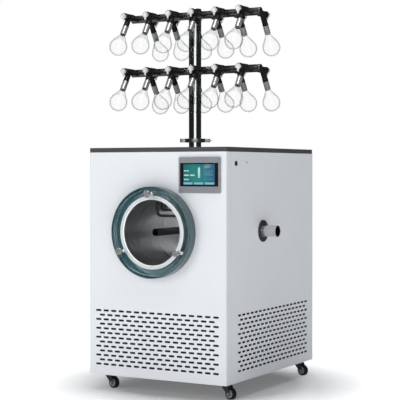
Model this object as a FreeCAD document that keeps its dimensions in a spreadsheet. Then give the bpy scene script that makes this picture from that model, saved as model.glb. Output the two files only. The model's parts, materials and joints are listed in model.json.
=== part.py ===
import FreeCAD, Part
import Sketcher
import math
import os
from FreeCAD import Vector, Placement, Rotation

# Laboratory freeze dryer, floor standing on four castors.
# Millimetres. +X right, +Y to the back, +Z up, front of the cabinet faces -Y.
# Every piece is drawn in the cabinet's own axes (centre of the cabinet at X = 0, Y = 0,
# floor at Z = 0) and is then moved by (shift_x, shift_y), which puts the row's origin at
# the middle of the underside of the whole machine's box.

doc = FreeCAD.newDocument("FreezeDryer")
sheet = doc.addObject("Spreadsheet::Sheet", "Params")

# ---------------------------------------------------------------- driving dimensions
SIZES = [
    # cabinet
    ("cab_wide", 700.0), ("cab_deep", 880.0), ("panel_foot", 72.0), ("panel_high", 994.6),
    ("top_face", 1087.0), ("top_thick", 20.0), ("skin", 1.5), ("wrap_deep", 48.0),
    ("seam_gap", 0.6), ("bend_rad", 8.0), ("shift_x", -36.75), ("shift_y", 41.1),
    # vent slots
    ("vent_long", 28.0), ("vent_wide", 9.0), ("vent_pitch", 40.0), ("vent_row", 20.0),
    ("vent_low", 120.0), ("vent_side_first", -320.0),
    # welded frame
    ("frame_wide", 695.0), ("frame_deep", 871.0), ("angle_leg", 30.0), ("angle_wall", 3.0),
    ("rail_low", 470.0), ("tray_thick", 2.0), ("plate_thick", 6.0), ("socket_rad", 9.0),
    ("socket_high", 40.0),
    # chamber and door, on a level axis
    ("axis_high", 716.0), ("vessel_rad", 146.0), ("vessel_wall", 3.0), ("vessel_back", 180.0),
    ("neck_face", 469.0), ("neck_rad", 160.0), ("lug_face", 451.0), ("lug_back", 441.0),
    ("lug_rad", 178.0), ("lug_wide", 26.0), ("stud_ring", 168.0), ("stud_rad", 4.0),
    ("stud_tip", 514.0), ("knuckle", 36.0), ("door_cut", 182.0),
    ("dish_rad", 200.0), ("dish_wall", 3.0), ("dish_face", 490.0), ("dish_floor", 455.0),
    ("dish_hole", 160.6), ("dish_seat", 186.0),
    ("seal_in", 144.0), ("seal_thick", 6.0), ("pane_rad", 185.0), ("pane_thick", 25.0),
    ("pane_hole", 4.6), ("grip_rad", 16.0), ("grip_hub", 10.0), ("grip_long", 22.0),
    ("grip_bore", 4.06), ("grip_gap", 0.2),
    # suction tube, side port and riser stub
    ("cross_back", -94.0), ("suck_rad", 17.0), ("suck_wall", 1.5), ("suck_face", -439.0),
    ("port_rad", 25.5), ("port_wall", 2.0), ("port_reach", 73.5), ("port_blind", -28.0),
    ("collar_rad", 27.0), ("collar_in", 340.0), ("collar_out", 354.0),
    ("riser_rad", 28.5), ("riser_wall", 2.0), ("flange_rad", 37.5), ("flange_mid", 1124.0),
    ("flange_rim", 3.0), ("flange_root", 5.5), ("flange_gap", 0.2), ("bolt_out", 63.0),
    ("foam_rad", 188.0), ("foam_front", -436.0), ("foam_back", 215.0), ("foam_gap", 0.4),
    ("grommet_rad", 49.0), ("grommet_thick", 4.0), ("panel_bore", 32.0),
    # manifold
    ("riser_top", 1730.0), ("head_up", 1700.0), ("head_drop", 255.0), ("head_rad", 18.0),
    ("head_wall", 2.0), ("head_half", 340.0), ("port_first", 300.0), ("port_pitch", 120.0),
    ("nip_rad", 8.5), ("nip_bore", 6.5), ("nip_reach", 80.0),
    # valves
    ("sleeve_rad", 12.5), ("sleeve_in", 22.0), ("barrel_rad", 15.0), ("barrel_in", 62.0),
    ("barrel_out", 130.0), ("tee_at", 94.0), ("arm_rad", 13.0), ("arm_long", 57.0),
    ("arm_tilt", 32.5), ("plug_rad", 6.0), ("plug_bore", 6.06), ("plug_in", 100.0),
    ("ball_rad", 13.0), ("ball_at", 145.0), ("tail_long", 24.0), ("nub_long", 17.0),
    # adapters and flasks, measured along the tilted outlet
    ("adapt_rad", 13.5), ("adapt_end", 103.0), ("stem_rad", 9.0), ("stem_in", 32.0),
    ("stem_bore", 6.0), ("cup_rad", 10.6), ("cup_in", 84.0),
    ("neck_out", 10.3), ("neck_in_at", 85.0), ("neck_wide", 13.2), ("bulb_at", 172.0), ("bulb_rad", 42.0),
    ("glass", 2.0),
    # screen
    ("screen_mid", 222.5), ("screen_low", 889.0), ("screen_wide", 202.0), ("screen_high", 154.0),
    ("screen_deep", 10.0), ("pane_wide", 185.0), ("pane_high", 98.4), ("pane_low", 918.6),
    ("pane_deep", 1.9), ("case_wide", 176.0), ("case_high", 120.0), ("case_deep", 34.0),
    # push button
    ("button_back", -353.0), ("button_high", 1016.0), ("button_rad", 11.0),
    # castors
    ("castor_x", 300.0), ("castor_front", -345.0), ("castor_rear", 390.0), ("castor_turn", -14.0),
    ("wheel_rad", 25.0), ("wheel_wide", 24.0), ("trail", 25.0), ("axle_rad", 4.0),
    ("pivot_rad", 5.5), ("pivot_bore", 5.56), ("leg_gap", 13.2), ("leg_thick", 3.0),
    # refrigeration set
    ("comp_x", 150.0), ("comp_y", 190.0), ("comp_rad", 82.0), ("comp_high", 190.0),
    ("coil_x", -40.0), ("coil_wide", 330.0), ("coil_high", 290.0), ("coil_front", -405.0),
    ("coil_deep", 44.0), ("coil_low", 80.0), ("fan_rad", 118.0),
    # power inlet
    ("inlet_x", -250.0), ("inlet_high", 430.0), ("inlet_wide", 50.0), ("inlet_tall", 28.0),
]
for i, (name, number) in enumerate(SIZES):
    row = str(i + 1)
    sheet.set("A" + row, name)
    sheet.set("B" + row, str(number))
    sheet.setAlias("B" + row, name)
doc.recompute()


class Dim:
    """A length that carries its number and the expression that gives it."""

    def __init__(self, number, text=None):
        self.v = float(number)
        self.t = text if text is not None else "(%.6f)" % self.v

    def _mix(self, other, sign, value):
        return Dim(value, "(%s %s %s)" % (self.t, sign, other.t))

    def __add__(self, o):
        o = dim(o)
        return self._mix(o, "+", self.v + o.v)

    def __radd__(self, o):
        return dim(o) + self

    def __sub__(self, o):
        o = dim(o)
        return self._mix(o, "-", self.v - o.v)

    def __rsub__(self, o):
        return dim(o) - self

    def __mul__(self, o):
        o = dim(o)
        return self._mix(o, "*", self.v * o.v)

    def __rmul__(self, o):
        return dim(o) * self

    def __truediv__(self, o):
        o = dim(o)
        return self._mix(o, "/", self.v / o.v)

    def __neg__(self):
        return Dim(-self.v, "(0 - %s)" % self.t)


def dim(x):
    return x if isinstance(x, Dim) else Dim(x)


class Sheet:
    """Reads a size from the spreadsheet by its alias."""

    def __getattr__(self, name):
        return Dim(float(sheet.get(name)), "Params." + name)


P = Sheet()
NODES = []


def keep(obj, name, turn=0.0, dx=0, dy=0, dz=0):
    """Names a finished piece and moves it from the cabinet's axes to the row's."""
    obj.Label = name
    x = P.shift_x + dx
    y = P.shift_y + dy
    z = dim(dz)
    obj.Placement = Placement(Vector(x.v, y.v, z.v), Rotation(Vector(0, 0, 1), turn))
    obj.setExpression("Placement.Base.x", x.t)
    obj.setExpression("Placement.Base.y", y.t)
    obj.setExpression("Placement.Base.z", z.t)
    NODES.append(obj)
    return obj


# ---------------------------------------------------------------- sketch helpers
def body(name, many=False):
    b = doc.addObject("PartDesign::Body", name)
    b.AllowCompound = many
    return b


def origin(b, role):
    for f in b.Origin.OriginFeatures:
        if f.Role == role:
            return f
    raise ValueError(role)


def sketch(b, name, role, x=0, y=0, z=0, turn=0.0):
    """A sketch on an origin plane; x, y move it in the plane and z along its normal.
    XY_Plane: local axes X, Y, normal +Z. XZ_Plane: X, Z, normal -Y. YZ_Plane: Y, Z, normal +X."""
    s = b.newObject("Sketcher::SketchObject", name)
    s.AttachmentSupport = [(origin(b, role), "")]
    s.MapMode = "FlatFace"
    x, y, z = dim(x), dim(y), dim(z)
    s.AttachmentOffset = Placement(Vector(x.v, y.v, z.v), Rotation(Vector(0, 0, 1), turn))
    s.setExpression("AttachmentOffset.Base.x", x.t)
    s.setExpression("AttachmentOffset.Base.y", y.t)
    s.setExpression("AttachmentOffset.Base.z", z.t)
    return s


def hold(s, kind, ids, value):
    value = dim(value)
    n = s.addConstraint(Sketcher.Constraint(kind, *(ids + [value.v])))
    s.setExpression("Constraints[%d]" % n, value.t)


def pin_point(s, geo, pos, x, y):
    x, y = dim(x), dim(y)
    if abs(x.v) < 1e-9:
        s.addConstraint(Sketcher.Constraint("PointOnObject", geo, pos, -2))
    else:
        hold(s, "DistanceX", [-1, 1, geo, pos], x)
    if abs(y.v) < 1e-9:
        s.addConstraint(Sketcher.Constraint("PointOnObject", geo, pos, -1))
    else:
        hold(s, "DistanceY", [-1, 1, geo, pos], y)


def outline(s, pts):
    """A closed outline of straight lines; a point with a third entry (mx, my) is reached
    by an arc that passes through that middle point. A fourth entry keeps the arc's centre
    on the sketch's upright axis, so that it turns into a true ball."""
    n = len(pts)
    P2 = [(dim(p[0]), dim(p[1])) for p in pts]
    ends = []
    for i in range(n):
        a, c = P2[i], P2[(i + 1) % n]
        nxt = pts[(i + 1) % n]
        va, vc = Vector(a[0].v, a[1].v, 0), Vector(c[0].v, c[1].v, 0)
        if len(nxt) > 2:
            vm = Vector(nxt[2][0], nxt[2][1], 0)
            ccw = (vm - va).cross(vc - vm).z > 0
            arc = Part.Arc(va, vm, vc) if ccw else Part.Arc(vc, vm, va)
            g = s.addGeometry(arc, False)
            ge = s.Geometry[g]
            ends.append((g, 1, 2) if ccw else (g, 2, 1))
            if len(nxt) == 4:
                s.addConstraint(Sketcher.Constraint("PointOnObject", g, 3, -2))
            else:
                s.addConstraint(Sketcher.Constraint("Radius", g, ge.Radius))
        else:
            g = s.addGeometry(Part.LineSegment(va, vc), False)
            ends.append((g, 1, 2))
    for i in range(n):
        g, st, en = ends[i]
        g2, st2, en2 = ends[(i + 1) % n]
        s.addConstraint(Sketcher.Constraint("Coincident", g, en, g2, st2))
    for i in range(n):
        g, st, en = ends[i]
        pin_point(s, g, st, P2[i][0], P2[i][1])
    return s


def ring(s, x, y, r):
    x, y, r = dim(x), dim(y), dim(r)
    g = s.addGeometry(Part.Circle(Vector(x.v, y.v, 0), Vector(0, 0, 1), r.v), False)
    hold(s, "Radius", [g], r)
    if abs(x.v) < 1e-9 and abs(y.v) < 1e-9:
        s.addConstraint(Sketcher.Constraint("Coincident", g, 3, -1, 1))
    else:
        pin_point(s, g, 3, x, y)
    return s


def block(s, x0, y0, x1, y1):
    return outline(s, [(x0, y0), (x1, y0), (x1, y1), (x0, y1)])


def slot(s, x, y, long, wide):
    """A level stadium slot about (x, y)."""
    x, y, long, wide = dim(x), dim(y), dim(long), dim(wide)
    r = wide / 2
    a = (long - wide) / 2
    up = s.addGeometry(Part.LineSegment(Vector(x.v - a.v, y.v + r.v, 0), Vector(x.v + a.v, y.v + r.v, 0)), False)
    dn = s.addGeometry(Part.LineSegment(Vector(x.v - a.v, y.v - r.v, 0), Vector(x.v + a.v, y.v - r.v, 0)), False)
    rt = s.addGeometry(Part.ArcOfCircle(Part.Circle(Vector(x.v + a.v, y.v, 0), Vector(0, 0, 1), r.v), -math.pi / 2, math.pi / 2), False)
    lf = s.addGeometry(Part.ArcOfCircle(Part.Circle(Vector(x.v - a.v, y.v, 0), Vector(0, 0, 1), r.v), math.pi / 2, 3 * math.pi / 2), False)
    s.addConstraint(Sketcher.Constraint("Tangent", dn, 2, rt, 1))
    s.addConstraint(Sketcher.Constraint("Tangent", rt, 2, up, 2))
    s.addConstraint(Sketcher.Constraint("Tangent", up, 1, lf, 1))
    s.addConstraint(Sketcher.Constraint("Tangent", lf, 2, dn, 1))
    pin_point(s, rt, 3, x + a, y)
    pin_point(s, lf, 3, x - a, y)
    hold(s, "Radius", [rt], r)
    hold(s, "Radius", [lf], r)
    return s


def pad(b, name, s, length, back=False, mid=False):
    f = b.newObject("PartDesign::Pad", name)
    f.Profile = s
    length = dim(length)
    f.Length = length.v
    f.setExpression("Length", length.t)
    f.Reversed = back
    f.Midplane = mid
    s.Visibility = False
    doc.recompute()
    return f


def pocket(b, name, s, length, back=False, mid=False):
    before = b.Shape.Volume
    f = b.newObject("PartDesign::Pocket", name)
    f.Profile = s
    length = dim(length)
    f.Length = length.v
    f.setExpression("Length", length.t)
    f.Reversed = back
    f.Midplane = mid
    doc.recompute()
    if not f.Shape.Volume < before - 1e-6:
        raise RuntimeError("pocket %s removes nothing" % name)
    return f


def spin(b, name, s, axis="H_Axis"):
    f = b.newObject("PartDesign::Revolution", name)
    f.Profile = s
    f.ReferenceAxis = (s, [axis])
    f.Angle = 360.0
    doc.recompute()
    return f


def groove(b, name, s, axis="H_Axis"):
    before = b.Shape.Volume
    f = b.newObject("PartDesign::Groove", name)
    f.Profile = s
    f.ReferenceAxis = (s, [axis])
    f.Angle = 360.0
    doc.recompute()
    if not f.Shape.Volume < before - 1e-6:
        raise RuntimeError("groove %s removes nothing" % name)
    return f


def edges(shape, test):
    out = []
    for i, e in enumerate(shape.Edges):
        if test(e):
            out.append("Edge%d" % (i + 1))
    return out


def fillet(b, name, test, radius):
    tip = b.Tip
    names = edges(tip.Shape, test)
    if not names:
        raise RuntimeError("no edge for %s" % name)
    f = b.newObject("PartDesign::Fillet", name)
    f.Base = (tip, names)
    radius = dim(radius)
    f.Radius = radius.v
    f.setExpression("Radius", radius.t)
    doc.recompute()
    return f


def polar(b, name, feats, axis, count):
    f = b.newObject("PartDesign::PolarPattern", name)
    f.Originals = feats
    f.Axis = axis
    f.Angle = 360.0
    f.Occurrences = count
    b.Tip = f
    doc.recompute()
    return f


def rows(b, name, feats, a_axis, a_len, a_num, c_axis=None, c_len=None, c_num=1, c_back=False, mirror=None):
    """A grid of features along one or two origin axes, then mirrored if asked."""
    m = b.newObject("PartDesign::MultiTransform", name)
    m.Originals = feats
    steps = []
    a = b.newObject("PartDesign::LinearPattern", name + "_a")
    a.Direction = (origin(b, a_axis), [""])
    a_len = dim(a_len)
    a.Length = a_len.v
    a.setExpression("Length", a_len.t)
    a.Occurrences = a_num
    steps.append(a)
    if c_axis is not None:
        c = b.newObject("PartDesign::LinearPattern", name + "_c")
        c.Direction = (origin(b, c_axis), [""])
        c_len = dim(c_len)
        c.Length = c_len.v
        c.setExpression("Length", c_len.t)
        c.Occurrences = c_num
        c.Reversed = c_back
        steps.append(c)
    if mirror is not None:
        r = b.newObject("PartDesign::Mirrored", name + "_m")
        r.MirrorPlane = (origin(b, mirror), [""])
        steps.append(r)
    m.Transformations = steps
    b.Tip = m
    doc.recompute()
    return m


# ---------------------------------------------------------------- primitive helpers
def place(obj, x, y, z, rot=None):
    x, y, z = dim(x), dim(y), dim(z)
    obj.Placement = Placement(Vector(x.v, y.v, z.v), rot if rot is not None else Rotation())
    obj.setExpression("Placement.Base.x", x.t)
    obj.setExpression("Placement.Base.y", y.t)
    obj.setExpression("Placement.Base.z", z.t)


def box(name, x, y, z, lx, ly, lz):
    o = doc.addObject("Part::Box", name)
    for prop, val in (("Length", lx), ("Width", ly), ("Height", lz)):
        val = dim(val)
        setattr(o, prop, val.v)
        o.setExpression(prop, val.t)
    place(o, x, y, z)
    return o


ALONG = {"Z": Rotation(), "X": Rotation(Vector(0, 1, 0), 90), "-Y": Rotation(Vector(1, 0, 0), 90),
         "Y": Rotation(Vector(1, 0, 0), -90), "-X": Rotation(Vector(0, 1, 0), -90)}


def rod(name, x, y, z, r, long, way="Z"):
    """A cylinder that starts at (x, y, z) and runs the given way."""
    o = doc.addObject("Part::Cylinder", name)
    r, long = dim(r), dim(long)
    o.Radius = r.v
    o.setExpression("Radius", r.t)
    o.Height = long.v
    o.setExpression("Height", long.t)
    place(o, x, y, z, ALONG[way] if isinstance(way, str) else way)
    return o


def taper(name, x, y, z, r1, r2, long, way="Z"):
    o = doc.addObject("Part::Cone", name)
    r1, r2, long = dim(r1), dim(r2), dim(long)
    for prop, val in (("Radius1", r1), ("Radius2", r2), ("Height", long)):
        setattr(o, prop, val.v)
        o.setExpression(prop, val.t)
    place(o, x, y, z, ALONG[way] if isinstance(way, str) else way)
    return o


def globe(name, x, y, z, r):
    o = doc.addObject("Part::Sphere", name)
    r = dim(r)
    o.Radius = r.v
    o.setExpression("Radius", r.t)
    place(o, x, y, z)
    return o


def fuse(name, parts):
    o = doc.addObject("Part::MultiFuse", name)
    o.Shapes = parts
    return o


def cut(name, base, tool):
    o = doc.addObject("Part::Cut", name)
    o.Base = base
    o.Tool = tool
    return o


HALF_W = P.cab_wide / 2
HALF_D = P.cab_deep / 2

# ================================================================ frame
# Welded steel angle: base ring, four posts, top ring, two level side rails, two saddles
# that cradle the chamber, a base tray and four castor sockets on corner plates.
fx, fy = P.frame_wide / 2, P.frame_deep / 2
aw, al = P.angle_wall, P.angle_leg
top_under = P.top_face - P.top_thick


def angle_ring(name, z0, flange_at_top):
    out = box(name + "_out", -fx, -fy, z0, P.frame_wide, P.frame_deep, al)
    z1 = z0 if flange_at_top else z0 + aw
    room = box(name + "_room", -fx + aw, -fy + aw, z1, P.frame_wide - 2 * aw, P.frame_deep - 2 * aw, al - aw)
    hole = box(name + "_hole", -fx + al, -fy + al, z0 - 1, P.frame_wide - 2 * al, P.frame_deep - 2 * al, al + 2)
    return cut(name, out, fuse(name + "_void", [room, hole]))


frame_bits = [angle_ring("base_ring", P.panel_foot, False), angle_ring("top_ring", top_under - al, True)]
post_high = top_under - P.panel_foot
for sx in (-1, 1):
    for sy in (-1, 1):
        tag = "%s%s" % ("r" if sx > 0 else "l", "b" if sy > 0 else "f")
        x0 = fx - al if sx > 0 else -fx
        y0 = fy - al if sy > 0 else -fy
        post = box("post_" + tag, x0, y0, P.panel_foot, al, al, post_high)
        x1 = fx - al - 1 if sx > 0 else -fx + aw
        y1 = fy - al - 1 if sy > 0 else -fy + aw
        hollow = box("post_room_" + tag, x1, y1, P.panel_foot - 1, al - aw + 1, al - aw + 1, post_high + 2)
        frame_bits.append(cut("upright_" + tag, post, hollow))
for sx in (-1, 1):
    tag = "r" if sx > 0 else "l"
    x0 = fx - aw if sx > 0 else -fx
    x1 = fx - al if sx > 0 else -fx
    frame_bits.append(box("rail_web_" + tag, x0, -fy, P.rail_low, aw, P.frame_deep, al))
    frame_bits.append(box("rail_flange_" + tag, x1, -fy, P.rail_low + al - aw, al, P.frame_deep, aw))
for k, y0 in enumerate((-330.0, 110.0)):
    frame_bits.append(box("cross_%d" % k, -fx, y0, P.rail_low, P.frame_wide, al, al - aw + 1))
    blk = box("saddle_block_%d" % k, -130, y0, P.rail_low + al - aw, 260, al, 62)
    bed = rod("saddle_bed_%d" % k, 0, y0 - 5, P.axis_high, P.foam_rad + 0.3, al + 10, "Y")
    frame_bits.append(cut("saddle_%d" % k, blk, bed))
frame_bits.append(box("base_tray", -fx + aw, -fy + aw, P.panel_foot + aw, P.frame_wide - 2 * aw, P.frame_deep - 2 * aw, P.tray_thick))
sockets, bores = [], []
CASTORS = [("front_right", P.castor_x, P.castor_front), ("front_left", -P.castor_x, P.castor_front),
           ("rear_right", P.castor_x, P.castor_rear), ("rear_left", -P.castor_x, P.castor_rear)]
for tag, cx, cy in CASTORS:
    frame_bits.append(box("corner_plate_" + tag, cx - 38, cy - 38, P.panel_foot, 76, 76, P.plate_thick))
    frame_bits.append(rod("socket_" + tag, cx, cy, P.panel_foot, P.socket_rad, P.socket_high))
    bores.append(rod("socket_bore_" + tag, cx, cy, P.panel_foot - 1, P.pivot_bore, P.socket_high - 3))
keep(cut("frame_weldment", fuse("frame_steel", frame_bits), fuse("frame_bores", bores)), "frame")

# ================================================================ cabinet panels


def vents(b, role, across, first_a, num_a, first_c, num_c, along_axis, plane_z, depth):
    """Thirteen staggered rows of level slots: seven long rows and six shorter ones between."""
    s1 = sketch(b, b.Name + "_vent_a", role, 0, 0, plane_z)
    slot(s1, first_a, P.vent_low, P.vent_long, P.vent_wide)
    k1 = pocket(b, b.Name + "_vent_cut_a", s1, depth, mid=True)
    rows(b, b.Name + "_vents_a", [k1], along_axis, P.vent_pitch * (num_a - 1), num_a, "Z_Axis", P.vent_row * 12, 7)
    s2 = sketch(b, b.Name + "_vent_c", role, 0, 0, plane_z)
    slot(s2, first_c, P.vent_low + P.vent_row, P.vent_long, P.vent_wide)
    k2 = pocket(b, b.Name + "_vent_cut_c", s2, depth, mid=True)
    rows(b, b.Name + "_vents_c", [k2], along_axis, P.vent_pitch * (num_c - 1), num_c, "Z_Axis", P.vent_row * 10, 6)


# front panel: one folded sheet, 48 mm returns on both sides, rounded bends
b = body("front_sheet")
s = sketch(b, "front_fold", "XY_Plane", 0, 0, P.panel_foot)
outline(s, [(-HALF_W, -HALF_D + P.wrap_deep), (-HALF_W, -HALF_D), (HALF_W, -HALF_D), (HALF_W, -HALF_D + P.wrap_deep),
            (HALF_W - P.skin, -HALF_D + P.wrap_deep), (HALF_W - P.skin, -HALF_D + P.skin),
            (-HALF_W + P.skin, -HALF_D + P.skin), (-HALF_W + P.skin, -HALF_D + P.wrap_deep)])
pad(b, "front_pad", s, P.panel_high)


def upright_edge(e, x, y):
    if len(e.Vertexes) != 2:
        return False
    p, q = e.Vertexes[0].Point, e.Vertexes[1].Point
    return (abs(p.x - q.x) < 1e-6 and abs(p.y - q.y) < 1e-6 and abs(p.z - q.z) > 100
            and abs(abs(p.x) - x) < 1e-3 and abs(p.y - y) < 1e-3)


fillet(b, "front_bend_out", lambda e: upright_edge(e, HALF_W.v, -HALF_D.v), P.bend_rad)
fillet(b, "front_bend_in", lambda e: upright_edge(e, HALF_W.v - P.skin.v, -HALF_D.v + P.skin.v), P.bend_rad - P.skin)
s = sketch(b, "front_door_hole", "XZ_Plane", 0, 0, HALF_D)
ring(s, 0, P.axis_high, P.door_cut)
pocket(b, "front_door_cut", s, 10, mid=True)
s = sketch(b, "front_screen_hole", "XZ_Plane", 0, 0, HALF_D)
block(s, P.screen_mid - P.case_wide / 2 - 1, P.screen_low + 16, P.screen_mid + P.case_wide / 2 + 1, P.screen_low + 18 + P.case_high)
pocket(b, "front_screen_cut", s, 10, mid=True)
vents(b, "XZ_Plane", None, -300, 16, -280, 15, "X_Axis", HALF_D, 10)
keep(b, "front_panel")


def side_sheet(name, sx):
    b = body(name + "_sheet")
    s = sketch(b, name + "_fold", "XY_Plane", 0, 0, P.panel_foot)
    y0 = -HALF_D + P.wrap_deep + P.seam_gap
    outline(s, [(sx * HALF_W, y0), (sx * HALF_W, HALF_D), (sx * (HALF_W - 14), HALF_D), (sx * (HALF_W - 14), HALF_D - P.skin),
                (sx * (HALF_W - P.skin), HALF_D - P.skin), (sx * (HALF_W - P.skin), y0)])
    pad(b, name + "_pad", s, P.panel_high)
    vents(b, "YZ_Plane", None, P.vent_side_first, 18, P.vent_side_first + 20, 17, "Y_Axis", sx * HALF_W, 10)
    return b


b = side_sheet("right_side", 1)
s = sketch(b, "right_port_hole", "YZ_Plane", 0, 0, HALF_W)
ring(s, P.cross_back, P.axis_high, P.panel_bore)
pocket(b, "right_port_cut", s, 10, mid=True)
s = sketch(b, "right_button_hole", "YZ_Plane", 0, 0, HALF_W)
ring(s, P.button_back, P.button_high, P.button_rad + 0.3)
pocket(b, "right_button_cut", s, 10, mid=True)
keep(b, "right_side_panel")
keep(side_sheet("left_side", -1), "left_side_panel")

# rear panel: flat sheet behind the side panels' returns, vented, with the inlet cut-out
b = body("rear_sheet")
rear_y = HALF_D - P.skin - 0.2
s = sketch(b, "rear_outline", "XZ_Plane", 0, 0, -rear_y)
block(s, -HALF_W + P.skin + 0.5, P.panel_foot, HALF_W - P.skin - 0.5, P.panel_foot + P.panel_high)
pad(b, "rear_pad", s, P.skin)
s = sketch(b, "rear_inlet_hole", "XZ_Plane", 0, 0, -rear_y)
block(s, P.inlet_x - P.inlet_wide / 2, P.inlet_high - P.inlet_tall / 2, P.inlet_x + P.inlet_wide / 2, P.inlet_high + P.inlet_tall / 2)
pocket(b, "rear_inlet_cut", s, 10, mid=True)
vents(b, "XZ_Plane", None, -300, 16, -280, 15, "X_Axis", -rear_y, 10)
keep(b, "rear_panel")

# worktop: one slab with a hole for the riser stub
b = body("worktop_slab")
s = sketch(b, "worktop_outline", "XY_Plane", 0, 0, top_under)
block(s, -HALF_W, -HALF_D, HALF_W, HALF_D)
pad(b, "worktop_pad", s, P.top_thick)


def corner_edge(e):
    p, q = e.Vertexes[0].Point, e.Vertexes[-1].Point
    return abs(p.x - q.x) < 1e-6 and abs(p.y - q.y) < 1e-6 and abs(p.z - q.z) > 5


fillet(b, "worktop_corners", corner_edge, 6)
fillet(b, "worktop_arris", lambda e: all(abs(v.Point.z - P.top_face.v) < 1e-6 for v in e.Vertexes), 1.2)
s = sketch(b, "worktop_hole", "XY_Plane", 0, 0, P.top_face)
ring(s, 0, P.cross_back, P.riser_rad + 1.5)
pocket(b, "worktop_bore", s, 60, mid=True)
keep(b, "worktop")

# ================================================================ touch screen
b = body("screen_case")
s = sketch(b, "screen_front", "XZ_Plane", 0, 0, HALF_D)
block(s, P.screen_mid - P.screen_wide / 2, P.screen_low, P.screen_mid + P.screen_wide / 2, P.screen_low + P.screen_high)
pad(b, "screen_pad", s, P.screen_deep)


def y_edge(e):
    p, q = e.Vertexes[0].Point, e.Vertexes[-1].Point
    return abs(p.x - q.x) < 1e-6 and abs(p.z - q.z) < 1e-6 and abs(p.y - q.y) > 5


fillet(b, "screen_corners", y_edge, 4)
fillet(b, "screen_front_edge", lambda e: all(abs(v.Point.y + HALF_D.v + P.screen_deep.v) < 1e-6 for v in e.Vertexes), 1.0)
s = sketch(b, "screen_rear", "XZ_Plane", 0, 0, HALF_D)
block(s, P.screen_mid - P.case_wide / 2, P.screen_low + 17, P.screen_mid + P.case_wide / 2, P.screen_low + 17 + P.case_high)
pad(b, "screen_case_pad", s, P.case_deep, back=True)
s = sketch(b, "screen_recess", "XZ_Plane", 0, 0, HALF_D + P.screen_deep)
block(s, P.screen_mid - P.pane_wide / 2 - 0.3, P.pane_low - 0.3, P.screen_mid + P.pane_wide / 2 + 0.3, P.pane_low + P.pane_high + 0.3)
pocket(b, "screen_recess_cut", s, 2)
keep(b, "screen_housing")

b = body("screen_pane")
s = sketch(b, "pane_outline", "XZ_Plane", 0, 0, HALF_D + P.screen_deep - 2)
block(s, P.screen_mid - P.pane_wide / 2, P.pane_low, P.screen_mid + P.pane_wide / 2, P.pane_low + P.pane_high)
pad(b, "pane_pad", s, P.pane_deep)
keep(b, "screen_glass")

# ================================================================ chamber weldment
# Horizontal stainless vessel with a sealing neck, three stud lugs, the suction tube on its
# axis, the side port, the riser stub with its clamp flange, and two small instrument pipes.
zc = P.axis_high
vw = P.vessel_wall
b = body("chamber_vessel")
s = sketch(b, "vessel_profile", "YZ_Plane", 0, zc, 0)
outline(s, [(-P.neck_face, P.vessel_rad), (-P.neck_face, P.neck_rad), (-P.lug_back, P.neck_rad), (-P.lug_back, P.vessel_rad + vw),
            (P.vessel_back + vw, P.vessel_rad + vw), (P.vessel_back + vw, 0), (P.vessel_back, 0), (P.vessel_back, P.vessel_rad)])
spin(b, "vessel_shell", s)


def round_edge(e, y, r):
    c = e.Curve
    return isinstance(c, Part.Circle) and abs(c.Center.y - y) < 1e-3 and abs(c.Radius - r) < 1e-3


fillet(b, "vessel_knuckle_out", lambda e: round_edge(e, P.vessel_back.v + vw.v, P.vessel_rad.v + vw.v), P.knuckle + vw)
fillet(b, "vessel_knuckle_in", lambda e: round_edge(e, P.vessel_back.v, P.vessel_rad.v), P.knuckle)
s_lug = sketch(b, "lug_outline", "XZ_Plane", 0, zc, P.lug_back)
block(s_lug, -P.lug_wide / 2, P.neck_rad - 6, P.lug_wide / 2, P.lug_rad)
lug = pad(b, "lug", s_lug, P.lug_face - P.lug_back)
polar(b, "lugs", [lug], (s_lug, ["N_Axis"]), 3)
s_stud = sketch(b, "stud_outline", "XZ_Plane", 0, zc, P.lug_face - 5)
ring(s_stud, 0, P.stud_ring, P.stud_rad)
stud = pad(b, "stud", s_stud, P.stud_tip - P.lug_face + 5)
polar(b, "studs", [stud], (s_stud, ["N_Axis"]), 3)
# riser stub and its flange
rr, rw = P.riser_rad, P.riser_wall
s = sketch(b, "stub_profile", "XZ_Plane", 0, 0, -P.cross_back)
outline(s, [(rr - rw, zc + 143), (rr, zc + 143), (rr, P.flange_mid - P.flange_root), (P.flange_rad, P.flange_mid - P.flange_rim),
            (P.flange_rad, P.flange_mid - P.flange_gap), (rr - rw, P.flange_mid - P.flange_gap)])
spin(b, "stub", s, "V_Axis")
s = sketch(b, "stub_bore", "XZ_Plane", 0, 0, -P.cross_back)
block(s, 0, zc + 120, rr - rw, zc + 160)
groove(b, "stub_opening", s, "V_Axis")
# side port: tube that crosses the vessel wall, closed at its inner end, collar at the panel
s = sketch(b, "port_profile", "XZ_Plane", 0, zc, -P.cross_back)
outline(s, [(P.port_blind, 0), (P.port_blind, P.port_rad), (P.collar_in, P.port_rad), (P.collar_in, P.collar_rad),
            (P.collar_out, P.collar_rad), (P.collar_out, P.port_rad), (HALF_W + P.port_reach, P.port_rad), (HALF_W + P.port_reach, 0)])
spin(b, "port_tube", s)
s = sketch(b, "suction_profile", "YZ_Plane", 0, zc, 0)
block(s, P.suck_face, 0, P.cross_back, P.suck_rad)
spin(b, "suction_tube", s)
s = sketch(b, "port_bore", "XZ_Plane", 0, zc, -P.cross_back)
block(s, P.port_blind + 3, 0, HALF_W + P.port_reach + 1, P.port_rad - P.port_wall)
groove(b, "port_opening", s)
s = sketch(b, "suction_bore", "YZ_Plane", 0, zc, 0)
block(s, P.suck_face - 1, 0, P.cross_back, P.suck_rad - P.suck_wall)
groove(b, "suction_opening", s)
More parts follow.
